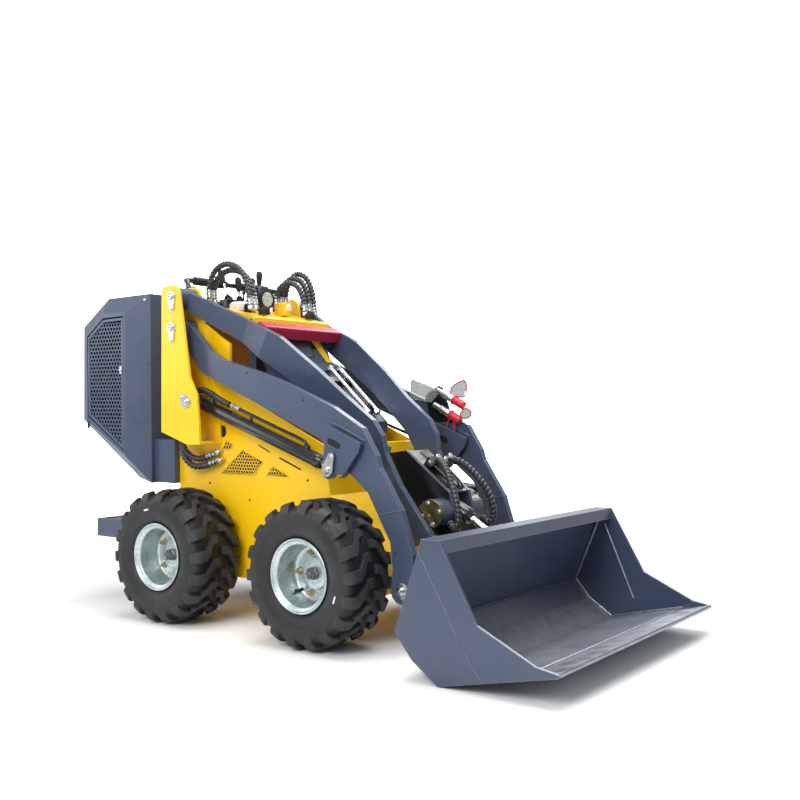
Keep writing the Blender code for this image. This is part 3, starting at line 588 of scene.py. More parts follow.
def tyreShape(centre, side, forward):
    # angle(i, j) = pitch * (the column's place + the row's lean); a point goes from the carcass to the top of
    # the lug by its column's height, so a lug's sides lie on grid lines. The halves are half a pitch apart.
    rows = tyreLook["rows"]
    both = np.vstack([rows[:0:-1], rows])
    sign = np.concatenate([-np.ones(len(rows) - 1), [0], np.ones(len(rows) - 1)])
    lean = both[:, 4] + np.where(sign > 0, 0.5, 0.0)
    lean[len(rows) - 1] = rows[0, 4] + 0.25
    width = both[:, 5]
    edge = 0.035          # how far round a lug's side slopes, in pitches
    places = [0 * width, 0 * width + edge, width * 0.35, width * 0.65, width - edge, width]
    heights = [0, 1, 1, 1, 1, 0]
    for k in range(1, 5):
        places.append(width + (1 - width) * k / 5)
        heights.append(0)
    places, heights = np.stack(places, 1), np.array(heights, float)
    pitch = 2 * np.pi / tyreLook["lugs"]
    turns = np.arange(tyreLook["lugs"])[None, :, None]
    angle = forward * pitch * (turns + places[:, None] + lean[:, None, None])
    angle = angle.reshape(len(both), -1)
    height = np.tile(heights, tyreLook["lugs"])[None]
    y = sign[:, None] * (both[:, 0:1] * (1 - height) + both[:, 2:3] * height)
    radius = both[:, 1:2] * (1 - height) + both[:, 3:4] * height
    points = np.stack([radius * np.cos(angle), side * y, radius * np.sin(angle)], -1) + centre
    # mask for the painted shade: 1 on lug tops, 0 down between the lugs, 0.55 on the sidewall
    tread = height * (both[:, 3:4] > both[:, 1:2] + 0.002) + 0.55 * (both[:, 1:2] < 0.2)
    return outward(points.reshape(-1, 3), [gridFaces(len(both), angle.shape[1], True, True)]), tread.ravel()


rimLook = {
    "profile": [
        (0, 0.0185), (0.0325, 0.0185), (0.0335, 0.02), (0.0485, 0.02), (0.05, 0.0188), (0.0508, 0.0095),
        (0.0525, 0.0082), (0.07, 0.0062), (0.08, 0.0062), (0.0868, 0.009), (0.09, 0.015),
        (0.0915, 0.026), (0.0918, 0.048), (0.0926, 0.056), (0.0945, 0.062), (0.0948, 0.076),
        (0.0956, 0.082), (0.0985, 0.0856), (0.105, 0.087), (0.108, 0.089), (0.1095, 0.092),
        (0.111, 0.094), (0.113, 0.0947), (0.115, 0.0935), (0.1155, 0.091), (0.1144, 0.0876),
        (0.1005, 0.0848), (0.1005, -0.0848), (0.1144, -0.0876), (0.1155, -0.092), (0.113, -0.0947),
        (0.1105, -0.0935), (0.106, -0.088), (0.095, -0.085), (0.093, -0.05), (0.0885, -0.002),
        (0.06, 0.0026), (0, 0.0026),
    ],
    "bolts": 5, "boltCircle": 0.0665, "hub": 0.0195,
    "valveCircle": 0.084, "markCircle": 0.164, "markFace": 0.1052,
    "boltTurn": {"front": 0.49, "rear": 0.03},
    "valveTurn": {"front": 3.9, "rear": 1.65},
    "markTurn": {"front": -0.32, "rear": 1.785},
}


def wheel(name):
    end = name.split("_")[0]
    centre = pivot("wheel_%s_spin" % name)
    side = 1 if centre[1] > 0 else -1
    body = "wheel_" + name
    out = side * yAxis
    shape, tread = tyreShape(centre, side, -1)
    tyre = made("tyre_lugged_" + name, shape, tyreRubber, body, 28, ["tyre_" + name])
    # the mask that the tyre rubber reads to paint shade between the lugs
    tyre.data.attributes.new("tread", "FLOAT", "POINT").data.foreach_set("value", tread.astype(np.float32))
    made("rim_dished_" + name, turned(rimLook["profile"], centre, out, 96), galvanised, body, 40,
         ["rim_" + name])
    bolts = []
    for k in range(rimLook["bolts"]):
        a = 2 * np.pi * (k + rimLook["boltTurn"][end]) / rimLook["bolts"]
        spot = centre + rimLook["boltCircle"] * towards(a) + out * 0.0058
        cone = turned([(0.0115, 0), (0.0115, 0.002), (0.009, 0.006), (0, 0.006)], spot, out, 20)
        bolts.append(joined(cone, bolt(spot + out * 0.004, out, 0.016, 0.013, 1.05)))
        bolts.append(turned([(0.0052, 0.015), (0.0052, 0.024), (0.0042, 0.025), (0, 0.025)], spot, out, 12))
    made("lug_bolts_" + name, bolts, yellowZinc, body)
    hub = centre + out * rimLook["hub"]
    castle = turned([(0.021, 0), (0.021, 0.01), (0.018, 0.012), (0.0125, 0.012)], hub, out, 6)
    crown = turned([(0.0165, 0.01), (0.0165, 0.018), (0.015, 0.019), (0.011, 0.019), (0.0105, 0.01)], hub,
                   out, 24)
    spindle = turned([(0.01, 0), (0.01, 0.021), (0.0085, 0.023), (0.003, 0.023), (0, 0.021)], hub, out, 24)
    teeth = []
    for k in range(6):
        spoke = towards(np.pi * k / 3)
        teeth.append(slab(softRect(0.008, 0.0065, 0.001, 1), 0.012, 0.0215, hub + spoke * 0.0145, spoke,
                          np.cross(out, spoke), out, 0.0005))
    made("hub_nut_" + name, [castle, crown, spindle, *teeth], hubSteel, body)
    valve = centre + rimLook["valveCircle"] * towards(rimLook["valveTurn"][end]) + out * 0.006
    stem = [(0.0065, 0), (0.006, 0.004), (0.0035, 0.008), (0.0035, 0.026), (0.0045, 0.027), (0.0045, 0.034),
            (0, 0.034)]
    made("valve_" + name, turned(stem, valve, out, 16), hoseRubber, body)
    spoke = towards(rimLook["markTurn"][end])
    spot = centre + spoke * rimLook["markCircle"] + out * rimLook["markFace"]
    mark = slab(softRect(0.006, 0.024, 0.002, 2), 0.0, 0.0022, spot, spoke, np.cross(out, spoke), out, 0.0004)
    made("side_marks_" + name, mark, whitePaintMark, body)


for name in wheelNames:
    wheel(name)
print("wheels ready")


# hood: perforated doors, latches, hinges, louvres and screws

grilleLook = {"pitch": 0.0168, "hole": 0.0067, "frame": 0.01, "margin": 0.011, "deep": 0.0078}
louvreLook = {"count": 7, "first": 0.76, "step": 0.038, "half": 0.2, "proud": 0.0085}


def cornersOf(node):
    # the outline of a flat door: the corners of its mesh in X and Z, in order round the middle
    points = np.array([v.co for v in nodes[node].data.vertices], float)
    flat = np.unique(np.round(points[:, [0, 2]], 4), axis=0)
    middle = (flat.max(0) + flat.min(0)) / 2
    return flat[np.argsort(np.arctan2(*(flat - middle).T[::-1]))]


for word, side in sides:
    door = "grille_" + word
    outline = cornersOf(door)
    low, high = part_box(door)
    face = max(abs(low.y), abs(high.y))
    out = side * yAxis
    look = grilleLook
    sheet = perforated(outline, look["pitch"], look["hole"], face - 0.0045, face - 0.0015, 0, xAxis, zAxis,
                       out, look["margin"])
    inner = inset(outline, look["frame"])
    deep = face - look["deep"]
    rim = band(((outline, deep), (outline, face - 0.001), (inset(outline, 0.001), face), (inner, face),
                (inset(inner, 0.0008), deep)), 0, xAxis, zAxis, out)
    made("mesh_door_" + word, [sheet, rim], slate, door, 30, [door])
    latchSpot = np.array((outline[:, 0].max() - 0.013, side * face, (low.z + high.z) / 2 + 0.05))
    plate = slab(softRect(0.013, 0.03, 0.004), 0.0005, 0.003, latchSpot, xAxis, zAxis, out, 0.0006)
    knob = turned([(0.0055, 0.002), (0.0055, 0.006), (0.004, 0.0075), (0, 0.0075)], latchSpot, out, 16)
    made("door_latch_" + word, [plate, knob], zincPlate, door)
    strap = []
    for k in (0.2, 0.8):
        spot = np.array((low.x + 0.004, side * (face - 0.004), low.z + (high.z - low.z) * k))
        strap.append(turned([(0, -0.022), (0.0045, -0.022), (0.0045, 0.022), (0, 0.022)], spot, zAxis, 14))
    made("door_hinges_" + word, strap, blackPaint, "chassis")

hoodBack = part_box("hood")[0].x
rear = []
profile = np.array([(0.0, 0.0), (0.007, -0.02), (0.007, -0.022), (-0.0015, -0.001)])
for k in range(louvreLook["count"]):
    spot = (hoodBack - 0.0002, 0, louvreLook["first"] + louvreLook["step"] * k)
    rear.append(slab(profile, -louvreLook["half"], louvreLook["half"], spot, -xAxis, zAxis, yAxis, 0.0004))
points, sets = joined(*rear)
points[:, 0] = np.maximum(points[:, 0], hoodBack - louvreLook["proud"])
made("rear_louvres", (points, sets), slate, "chassis")
screws = []
for word, side in sides:
    for x, z in ((-0.59, 1.14), (-0.59, 0.5), (-0.8, 1.11)):
        screws.append(bolt(at(x, side * 0.3125, z), (0, side, 0.35), 0.008, 0.004))
made("hood_screws", screws, zincPlate, "chassis")


# engine, seen dimly through the doors

def engineTrim():
    low, high = (np.array(corner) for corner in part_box("engine"))
    middle = (low + high) / 2
    parts = []
    for side in (-1, 1):
        spot = np.array((middle[0], side * (high[1] + 0.001), middle[2] + 0.06))
        parts.append(turned([(0.085, 0), (0.085, 0.022), (0.078, 0.03), (0.02, 0.034), (0, 0.034)], spot,
                            side * yAxis, 36))
        for k in range(9):
            spoke = towards(2 * np.pi * k / 9)
            parts.append(slab(softRect(0.045, 0.008, 0.002, 1), 0.03, 0.036, spot + spoke * 0.05, spoke,
                              np.cross(yAxis, spoke), side * yAxis, 0.0008))
    canister = [(0, -0.11), (0.045, -0.11), (0.052, -0.1), (0.052, 0.1), (0.045, 0.11), (0, 0.11)]
    for y in (0.1, -0.1):
        parts.append(turned(canister, np.array((middle[0], y, high[2] + 0.058)), xAxis, 28))
    made("engine_trim", parts, castIron, "chassis")


engineTrim()
print("hood ready")


# posts and pins

proud = 0.0003                                  # how far a fitted plate stands off the face under it
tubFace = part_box("body_tub")[1].y
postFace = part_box("post_left")[1].y
flags, edges = [], []
for word, side in sides:
    out = side * yAxis
    for joint in ("upper_link", "lift"):
        flags.append(pinFlag(pivot(joint) + out * (postFace + proud), out, (0.1, 0, -1)))
    base = pivot("lift_barrel_%s_swing" % word)
    base[1] = side * (postFace + proud)
    flags.append(pinFlag(base, out, (-0.75, 0, 0.6), 0.026, 0.022, 0.012))
    for z in (0.6135, 0.6235):
        edges.append(weld([at(-0.315, side * 0.35, z), at(-0.24, side * 0.35, z)], 0.0022, 0.004))
made("post_pin_flags", flags, zincPlate, "chassis", 30)
made("post_welds", edges, yellow, "chassis")


# the yellow side plates: vents, slots and holes

ventLook = {
    "pitch": 0.0126, "hole": 0.005, "frame": 0.0018, "inner": 0.0036,
    "outlines": (
        [(-0.241, 0.59), (-0.216, 0.626), (-0.178, 0.612), (-0.19, 0.59)],
        [(-0.243, 0.505), (-0.134, 0.595), (-0.031, 0.556), (-0.078, 0.505)],
        [(-0.022, 0.507), (0.012, 0.543), (0.09, 0.507)],
    ),
    "slots": (((-0.057, 0.612), (-0.003, 0.588), 0.004), ((0.041, 0.571), (0.14, 0.534), 0.0055)),
    "screwHoles": ((-0.15, 0.7), (0.17, 0.5), (-0.3, 0.47), (-0.1, 0.42)),
}
for word, side in sides:
    out = side * yAxis
    origin = np.array((midX, side * (tubFace + proud), 0))
    sheets, shadeSheets = [], []
    for outline in ventLook["outlines"]:
        outline = np.array(outline)
        # painted shade behind the vent's perforations
        shadeSheets.append(slab(outline, 0.0, 0.0009, origin, xAxis, zAxis, out, 0.0002))
        sheets.append(perforated(outline, ventLook["pitch"], ventLook["hole"], 0.0011, 0.0022, origin, xAxis,
                                 zAxis, out, 0.003))
        inner = inset(outline, ventLook["inner"])
        sheets.append(band(((outline, 0.0), (outline, 0.0016), (inset(outline, ventLook["frame"]), 0.0028),
                            (inner, 0.0024), (inner, 0.0)), origin, xAxis, zAxis, out))
    made("side_vents_" + word, sheets, yellow, "chassis", 30)
    # the slots, the oval hole and the screw holes are painted shade: dark sheets on the plate
    for start, end, width in ventLook["slots"]:
        start, end = np.array(start), np.array(end)
        line = unit(end - start)
        middle = (start + end) / 2
        shadeSheets.append(slab(softRect(np.linalg.norm(end - start), width, width * 0.45), 0.0, 0.0008,
                          origin + middle[0] * xAxis + middle[1] * zAxis, line[0] * xAxis + line[1] * zAxis,
                          -line[1] * xAxis + line[0] * zAxis, out, 0.0002))
    hole = origin - 0.234 * xAxis + 0.656 * zAxis
    shadeSheets.append(slab(softRect(0.036, 0.042, 0.0178, 8), 0.0, 0.0008, hole, xAxis, zAxis, out, 0.0002))
    for x, z in ventLook["screwHoles"]:
        shadeSheets.append(turned([(0.004, 0), (0.004, 0.0008), (0, 0.0008)], origin + x * xAxis + z * zAxis, out,
                            14))
    made("side_openings_" + word, shadeSheets, holeShade, "chassis")


# arms: bosses, keeper plates, weld seams, small holes

armLook = {
    "outer": 0.312, "inner": 0.2875, "upper": 0.154,
    "footSeam": [(0.51, 0.413), (0.596, 0.431)],
    "topSeam": [(0.323, 0.694), (0.38, 0.672), (0.457, 0.638)],
    "slot": (0.35, 0.629), "slotFaces": ((0.3346, 1), (0.2654, -1)),
    "holes": ((-0.055, 0.859), (0.2, 0.765), (0.575, 0.3)),
}
hitchPin = pivot("hitch_level")
for word, side in sides:
    out = side * yAxis
    beads, dark = [], []
    for y in (armLook["outer"] + 0.0005, armLook["inner"]):
        beads.append(weld([at(x, side * y, z) for x, z in armLook["footSeam"]], 0.002, 0.004))
        beads.append(weld([at(x, side * y, z) for x, z in armLook["topSeam"]], 0.003))
    flags = [pinFlag(at(0.33, side * 0.341, 0.545), out, (0.35, 0, 0.95), 0.046, 0.022, 0.012),
             pinFlag(hitchPin + out * (armLook["outer"] + proud), out, (0.5, 0, -0.6), 0.02, 0.024, 0.014)]
    # the slot and the small holes are painted shade: dark sheets on the arm faces
    for y, way in armLook["slotFaces"]:
        spot = at(armLook["slot"][0], side * y, armLook["slot"][1])
        dark.append(slab(softRect(0.056, 0.02, 0.0098, 8), 0.0, 0.0006, spot,
                         unit(np.array((0.93, 0, -0.37))), unit(np.array((0.37, 0, 0.93))), way * out,
                         0.0001))
    for x, z in armLook["holes"]:
        dark.append(turned([(0.0035, 0), (0.0035, 0.0006), (0, 0.0006)],
                           at(x, side * (armLook["outer"] + 0.0002), z), out, 14))
    made("lower_arm_welds_" + word, beads, slate, "lower_arms")
    made("lower_arm_pins_" + word, flags, zincPlate, "lower_arms", 30)
    made("lower_arm_holes_" + word, dark, holeShade, "lower_arms")
    upperPin = hitchPin + zAxis * 0.11 + out * (armLook["upper"] + proud)
    made("upper_arm_pins_" + word, pinFlag(upperPin, out, (0.4, 0, 0.9), 0.03, 0.022, 0.013), zincPlate,
         "upper_arms", 30)
print("arms ready")


# hydraulic cylinders

def cylinderPair(prefix, base, tip, bodyBarrel, bodyRod, nodeBarrel, nodeRod, look):
    # barrel and rod turned about the line from base to tip, with their cross eyes
    line = tip - base
    length = np.linalg.norm(line)
    line = line / length
    r, gland, end = look["radius"], look["gland"], look["barrel"]
    eye, h, thin = look["eye"], look["eyeHalf"], look["rod"]
    profile = [(0, eye * 0.6), (r * 0.7, eye * 0.6), (r * 0.96, eye * 0.9), (r, eye * 1.05), (r, end - gland),
               (r * 1.0, end - gland), (r * 1.06, end - gland + 0.002), (r * 1.06, end - 0.01),
               (r * 1.0, end - 0.007), (r * 0.92, end - 0.004), (r * 0.9, end), (thin + 0.0045, end),
               (thin + 0.0038, end + 0.003), (thin + 0.0007, end + 0.003), (thin + 0.0007, end - 0.05),
               (0, end - 0.05)]
    ring = [(eye * 0.66, -h), (eye * 0.96, -h), (eye, -h + 0.0015), (eye, h - 0.0015), (eye * 0.96, h),
            (eye * 0.66, h)]
    barrel = [turned(profile, base, line, 48), turned(ring, base, yAxis, 36, True)]
    made(prefix + "_barrel_turned", barrel, blackPaint, bodyBarrel, 30, [nodeBarrel])
    rod = [(0, look["start"]), (thin, look["start"]), (thin, length - eye * 0.95),
           (thin * 1.25, length - eye * 0.9), (thin * 1.25, length - eye * 0.6), (0, length - eye * 0.6)]
    made(prefix + "_rod_turned", [turned(rod, base, line, 36), turned(ring, tip, yAxis, 36, True)], chrome,
         bodyRod, 30, [nodeRod])
    return line


liftLook = {"radius": 0.0238, "gland": 0.03, "barrel": 0.6095, "eye": 0.0258, "eyeHalf": 0.0198,
            "rod": 0.0124, "start": 0.207,
            "pipe": ((0.205, 0.041, 0.004), (0.26, 0.041, 0.004), (0.4, 0.041, 0.004), (0.5, 0.041, 0.003),
                     (0.522, 0.036, 0.002), (0.53, 0.022, 0)),
            "bosses": (0.53, 0.06), "nuts": ((0.16, 0.0095), (0.176, 0.008), (0.19, 0.0095))}
tiltLook = {"radius": 0.0258, "gland": 0.03, "barrel": 0.3345, "eye": 0.0238, "eyeHalf": 0.0178,
            "rod": 0.0124, "start": 0.097}
for word, side in sides:
    base = pivot("lift_barrel_%s_swing" % word)
    tip = at(0.33, base[1], 0.545)
    body = "lift_barrel_" + word
    line = cylinderPair("lift_" + word, base, tip, body, "lift_rod_" + word, "lift_%s_barrel" % word,
                        "lift_%s_rod" % word, liftLook)
    upward = squareTo(line)

    def beside(along, lift, across=0.0):
        return base + line * along + upward * lift + yAxis * side * across

    pipe = curveThrough([beside(*place) for place in liftLook["pipe"]], 8)
    fittings = [swept(pipe, 0.0058, yAxis, 14),
                swept([beside(0.262, 0.018), beside(0.262, 0.045, 0.004)], 0.0055, xAxis + zAxis * 0.2, 12)]
    for along in liftLook["bosses"]:
        fittings.append(turned([(0.011, 0.018), (0.011, 0.03), (0.009, 0.032), (0, 0.032)],
                               base + line * along, upward, 6))
    made("lift_hard_line_" + word, fittings, blackPaint, body)
    nuts = []
    for along, r in liftLook["nuts"]:
        nuts.append(turned([(0, 0), (r, 0), (r * 1.05, 0.002), (r * 1.05, 0.011), (r, 0.013), (0, 0.013)],
                           beside(along, 0.041, 0.004), line, 6))
    made("lift_line_nuts_" + word, nuts, zincPlate, body, 25)

tiltBase = pivot("tilt_barrel_swing")
cylinderPair("tilt", tiltBase, at(0.735, 0.0, 0.33), "tilt_barrel", "tilt_rod", "tilt_barrel", "tilt_rod",
             tiltLook)
print("cylinders ready")


# hoses with a spiral guard, and their crimped ends

hoseLook = {"radius": 0.0088, "wrap": 0.0028, "pitch": 0.015, "band": 0.62}


def guardedHose(points, ref, radius=None, turn=1):
    # radius(s, t) = hose radius, plus the guard's thickness where s / pitch - t / 2 pi is within its band
    look = hoseLook
    path = evenly(curveThrough(points, 24), look["pitch"] / 9)
    step = np.linalg.norm(path[1] - path[0])
    base = radius or look["radius"]

    def wrap(t, k):
        phase = (k * step / look["pitch"] - turn * t / (2 * np.pi)) % 1.0
        rise = np.clip(np.minimum(phase, look["band"] - phase) * 14, 0, 1)
        return 1 + look["wrap"] / base * rise

    return swept(path, base, ref, 16, wrap)


def crimp(end, inward, radius=0.0112):
    # the steel ferrule and hexagon nut on a hose's end; inward points along the hose
    inward = unit(inward)
    ferrule = [(0, -0.002), (0.8, -0.002), (1, 0.003), (1, 0.009), (0.94, 0.011), (1, 0.013), (1, 0.02),
               (0.94, 0.022), (1, 0.024), (0.98, 0.032), (0.8, 0.034), (0, 0.034)]
    nut = [(0, -0.014), (0.95, -0.014), (1.08, -0.012), (1.08, -0.002), (0, -0.002)]
    ferrule, nut = (np.array(profile) * (radius, 1) for profile in (ferrule, nut))
    return joined(turned(ferrule, end, inward, 24), turned(nut, end, inward, 6))


loopShape = np.array([(0, 1.128), (-0.02, 1.18), (0.11, 1.238), (0.4, 1.262), (0.72, 1.24), (0.92, 1.18),
                      (1, 1.095)])      # share of the way to the front end, and height
loops = {"right": (-0.375, -0.165, (0.163, 0.186)), "left": (-0.335, -0.186, (0.125, 0.153, 0.181))}
for word, side in sides:
    rearX, frontX, places = loops[word]
    runs, ends = [], []
    for k, y in enumerate(places):
        drop = 0.02 * (len(places) - 1 - k)
        rows = loopShape.copy()
        lower = np.where(rows[:, 1] > 1.13, drop * (rows[:, 1] - 1.112) / 0.15, 0)
        path = [at(rearX + (frontX - rearX) * a, side * y, z - b) for (a, z), b in zip(rows, lower)]
        runs.append(guardedHose(path, yAxis, turn=side))
        ends.append(crimp(path[0] + zAxis * 0.012, path[1] - path[0]))
        ends.append(crimp(path[-1] + zAxis * 0.01, path[-2] - path[-1]))
    made("top_hoses_" + word, runs, wrapPlastic, "chassis", 50, ["hoses_top_" + word])
    made("top_hose_ends_" + word, ends, zincPlate, "chassis", 25)

for word, side in sides:
    runs, ends = [], []
    for drop, x in ((0.0, -0.255), (0.028, -0.243)):
        path = [at(-0.398, side * 0.3, 0.69), at(-0.398, side * 0.3, 0.64 - drop),
                at(-0.385, side * 0.298, 0.59 - drop), at(-0.345, side * 0.292, 0.56 - drop),
                at(-0.3, side * 0.282, 0.56 - drop), at(x, side * 0.274, 0.578 - drop)]
        runs.append(guardedHose(path, yAxis, turn=side))
        ends.append(crimp(path[-1], path[-2] - path[-1]))
        elbow = path[-1] + unit(path[-1] - path[-2]) * 0.016
        bend = curveThrough([path[-1], elbow, elbow - side * yAxis * 0.016 + xAxis * 0.004], 6)
        ends.append(swept(bend, 0.0078, zAxis, 14))
    made("side_hoses_" + word, runs, wrapPlastic, "chassis", 50, ["hoses_side_" + word])
    made("side_hose_ends_" + word, ends, zincPlate, "chassis", 25)
    feed = [at(-0.336, side * 0.292, 0.768), at(-0.33, side * 0.294, 0.794), at(-0.3, side * 0.296, 0.803),
            at(-0.262, side * 0.298, 0.795), at(-0.205, side * 0.302, 0.771),
            at(-0.165, side * 0.304, 0.7555), at(-0.149, side * 0.304, 0.7505)]
    made("lift_feed_hose_" + word, guardedHose(feed, yAxis, 0.0082, side), wrapPlastic, "lift_barrel_" + word,
         50)

runs, ends = [], []
for y in (-0.036, 0.036):
    path = [at(0.51, y, 0.556), at(0.534, y, 0.573), at(0.578, y * 1.6, 0.556), at(0.622, y * 2.3, 0.508),
            at(0.656, y * 2.8, 0.448), at(0.668, y * 2.9, 0.39), at(0.652, y * 2.8, 0.362),
            at(0.628, y * 2.7, 0.378)]
    runs.append(guardedHose(path, yAxis, turn=1 if y > 0 else -1))
    ends.append(crimp(path[0] + unit(path[1] - path[0]) * 0.012, path[1] - path[0]))
for y in (-0.014, 0.014):
    start, way = at(0.505, y, 0.556), at(0.53, y, 0.566) - at(0.505, y, 0.556)
    ends.append(crimp(start + unit(way) * 0.006, way, 0.0095))
made("hitch_hose_runs", runs, wrapPlastic, "hitch", 50, ["hitch_hoses"])
made("hitch_hose_ends", ends, zincPlate, "hitch", 25)
print("hoses ready")


# hitch: drive drums, valve block, channel

hitchLook = {
    "drum": (0.573, 0.404), "drumFace": 0.1205, "bolts": 4, "boltCircle": 0.034, "boltTurn": 0.18,
    "tubesAcross": (-0.03, -0.012, 0.012, 0.03),
    "tube": ((0.09, 0.018), (0.12, 0.017), (0.16, 0.015), (0.186, 0.012), (0.205, 0.002)),
    "skin": [(0.352, 0.588), (0.432, 0.598), (0.602, 0.469), (0.638, 0.35), (0.65, 0.23), (0.64, 0.16),
             (0.592, 0.152), (0.562, 0.201), (0.547, 0.331), (0.49, 0.402), (0.338, 0.53), (0.33, 0.566)],
}
discs, screws = [], []
for side in (-1, 1):
    out = side * yAxis
    spot = at(hitchLook["drum"][0], side * hitchLook["drumFace"], hitchLook["drum"][1])
    discs.append(turned([(0.0455, -0.004), (0.0462, -0.002), (0.0462, 0.0035), (0.045, 0.0048),
                         (0.008, 0.0052), (0.006, 0.004), (0, 0.004)], spot, out, 56))
    for k in range(hitchLook["bolts"]):
        a = 2 * np.pi * (k + hitchLook["boltTurn"]) / hitchLook["bolts"]
        screws.append(bolt(spot + hitchLook["boltCircle"] * towards(a) + out * 0.0048, out, 0.011, 0.0065,
                           1.3))
made("drum_discs", discs, oliveBrass, "hitch", 30)
made("drum_bolts", screws, zincPlate, "hitch", 25)

start = at(0.432, 0, 0.598)
along = unit(at(0.602, 0, 0.4695) - start)      # down the channel that covers the tilt cylinder
up = squareTo(along)
lid = slab(softRect(0.19, 0.112, 0.006), 0.0004, 0.0034, start + along * 0.098, along, yAxis, up, 0.0008)
made("hitch_lid", lid, blackPaint, "hitch")
slotShape = slab(softRect(0.052, 0.016, 0.0078, 6), 0.0036, 0.0042, start + along * 0.04, along, yAxis, up,
                 0.0002)
block = slab(softRect(0.034, 0.06, 0.003), 0.0036, 0.026, start + along * 0.08, along, yAxis, up, 0.0015)
made("hitch_valve_block", [slotShape, block], castIron, "hitch")
tubes, skins = [], []
for y in hitchLook["tubesAcross"]:
    path = [start + along * a + up * h + yAxis * y for a, h in hitchLook["tube"]]
    tubes.append(swept(curveThrough(path, 6), 0.0042, yAxis, 10))
for side in (-1, 1):
    skins.append(slab(np.array(hitchLook["skin"]), 0.0602, 0.0618, np.array((midX, 0, 0)), xAxis, zAxis,
                      side * yAxis, 0.0006))
made("hitch_tubes", tubes, blackPaint, "hitch")
made("hitch_side_skins", skins, blackPaint, "hitch")
plug = turned([(0, 0.022), (0.009, 0.022), (0.01, 0.019), (0.01, 0.003), (0.012, 0.0), (0, 0.0)],
              at(0.35, -0.055, 0.59), zAxis * 0.97 + xAxis * 0.2, 20)
made("hitch_green_plug", plug, greenCap, "hitch")
pins = []
for out in (-yAxis, yAxis):
    pins.append(pinFlag(pivot("bucket_tilt") + out * 0.0785, out, (-0.8, 0, 0.6), 0.026, 0.018, 0.011))
    pins.append(turned([(0, 0.006), (0.014, 0.006), (0.016, 0.004), (0.016, 0.0)], tiltBase + out * 0.0604,
                       out, 24))
made("hitch_pins", pins, zincPlate, "hitch", 30)


# bucket: weld seams and pin caps

bucketLook = {
    "side": 0.537, "wall": 0.0105, "half": 0.525, "ripple": 0.006,
    "sideSeam": [(0.822, 0.352), (0.9, 0.225), (0.965, 0.11), (1.018, 0.04)],
    "cornerSeam": [(0.842, 0.345), (0.7535, 0.13), (0.806, 0.068), (0.889, 0.0125), (1.15, 0.0725)],
    "innerSeam": [(0.866, 0.333), (0.974, 0.082)],
    "earSeam": [(0.774, 0.205), (0.762, 0.165)],
}


def bead(points, y, radius, ref=yAxis):
    return weld([at(x, y, z) for x, z in points], radius, bucketLook["ripple"], ref)


def crossBead(x, z, radius):
    half = bucketLook["half"]
    return weld([at(x, -half, z), at(x, half, z)], radius, bucketLook["ripple"], xAxis)


seams, inside = [], []
for side in (-1, 1):
    inner = side * (bucketLook["side"] - bucketLook["wall"])
    seams.append(bead(bucketLook["sideSeam"], side * (bucketLook["side"] + 0.0002), 0.0013, xAxis))
    inside.append(bead(bucketLook["cornerSeam"], inner, 0.0034))
    inside.append(bead(bucketLook["innerSeam"], inner, 0.0024, xAxis))
    seams.append(weld([at(x, side * 0.0635, z) for x, z in bucketLook["earSeam"]], 0.003))
seams += [crossBead(0.8885, 0.3525, 0.0016), crossBead(0.756, 0.1305, 0.0018)]
inside.append(crossBead(1.1495, 0.0715, 0.0026))
made("bucket_welds", seams, bucketCoat, "bucket", 40)
made("bucket_inner_welds", inside, weldSteel, "bucket", 40)
caps = [turned([(0, 0.0045), (0.014, 0.0045), (0.0155, 0.003), (0.0155, 0)], at(0.735, side * 0.0362, 0.33),
               side * yAxis, 24) for side in (-1, 1)]
made("bucket_pin_caps", caps, zincPlate, "bucket", 30)
print("bucket ready")


# guard, pipes and the panel under the cross beam

guardLook = {
    "meshDown": 0.078, "meshAcross": 0.012,
    "strip": [(0.012, 0.07), (0.012, 0.118), (0.132, 0.162), (0.132, 0.136)],
    "pipesAcross": (-0.125, -0.07, 0.07, 0.125), "pipe": 0.0099,
    "clampsDown": (0.062, 0.202), "clampBolts": (-0.098, 0.0, 0.098),
    "window": [(-0.158, 0.868), (-0.104, 0.868), (-0.158, 0.954)],
}
slopeTop, slopeFoot = at(-0.139, 0, 1.028), at(-0.085, 0, 0.905)
along = unit(slopeFoot - slopeTop)
up = squareTo(along, xAxis)
spot = slopeTop + along * guardLook["meshDown"] + yAxis * guardLook["meshAcross"]
panel = perforated(softRect(0.066, 0.124, 0.004), 0.009, 0.0034, 0.0012, 0.002, spot, along, yAxis, up)
# painted shade behind the mesh: a near-black sheet
meshShadeSheet = slab(softRect(0.07, 0.128, 0.004), 0.0003, 0.001, spot, along, yAxis, up, 0.0002)
made("guard_mesh_panel", panel, wornSteel, "chassis")
made("guard_mesh_shade_sheet", meshShadeSheet, holeShade, "chassis")
strips = [slab(guardLook["strip"], 0.0003, 0.004, slopeTop, along, side * yAxis, up, 0.0006)
          for side in (-1, 1)]
made("guard_edge_strips", strips, yellow, "chassis")
along = unit(at(-0.02, 0, 0.868) - slopeFoot)
shelf = slab(softRect(0.06, 0.32, 0.003), 0.0003, 0.005, slopeFoot + along * 0.04, along, yAxis,
             squareTo(along), 0.001)
made("guard_shelf_plate", shelf, slate, "chassis")
pipes = []
collar = [(0, -0.001), (0.0125, -0.001), (0.0135, 0.002), (0.0135, 0.013), (0.012, 0.015), (0, 0.015)]
for y in guardLook["pipesAcross"]:
    start, end = at(-0.018, y, 0.8885), at(0.17, y, 0.7215)
    along = unit(end - start)
    pipes.append(swept(straight(start, end), guardLook["pipe"], yAxis, 24))
    pipes += [turned(collar, start, along, 6), turned(collar, end, -along, 6)]
made("bright_pipes", pipes, chrome, "chassis", 30, ["steel_pipes"])
along = unit(at(0.17, 0, 0.7213) - at(-0.02, 0, 0.89))
up = squareTo(along)
clamps = []
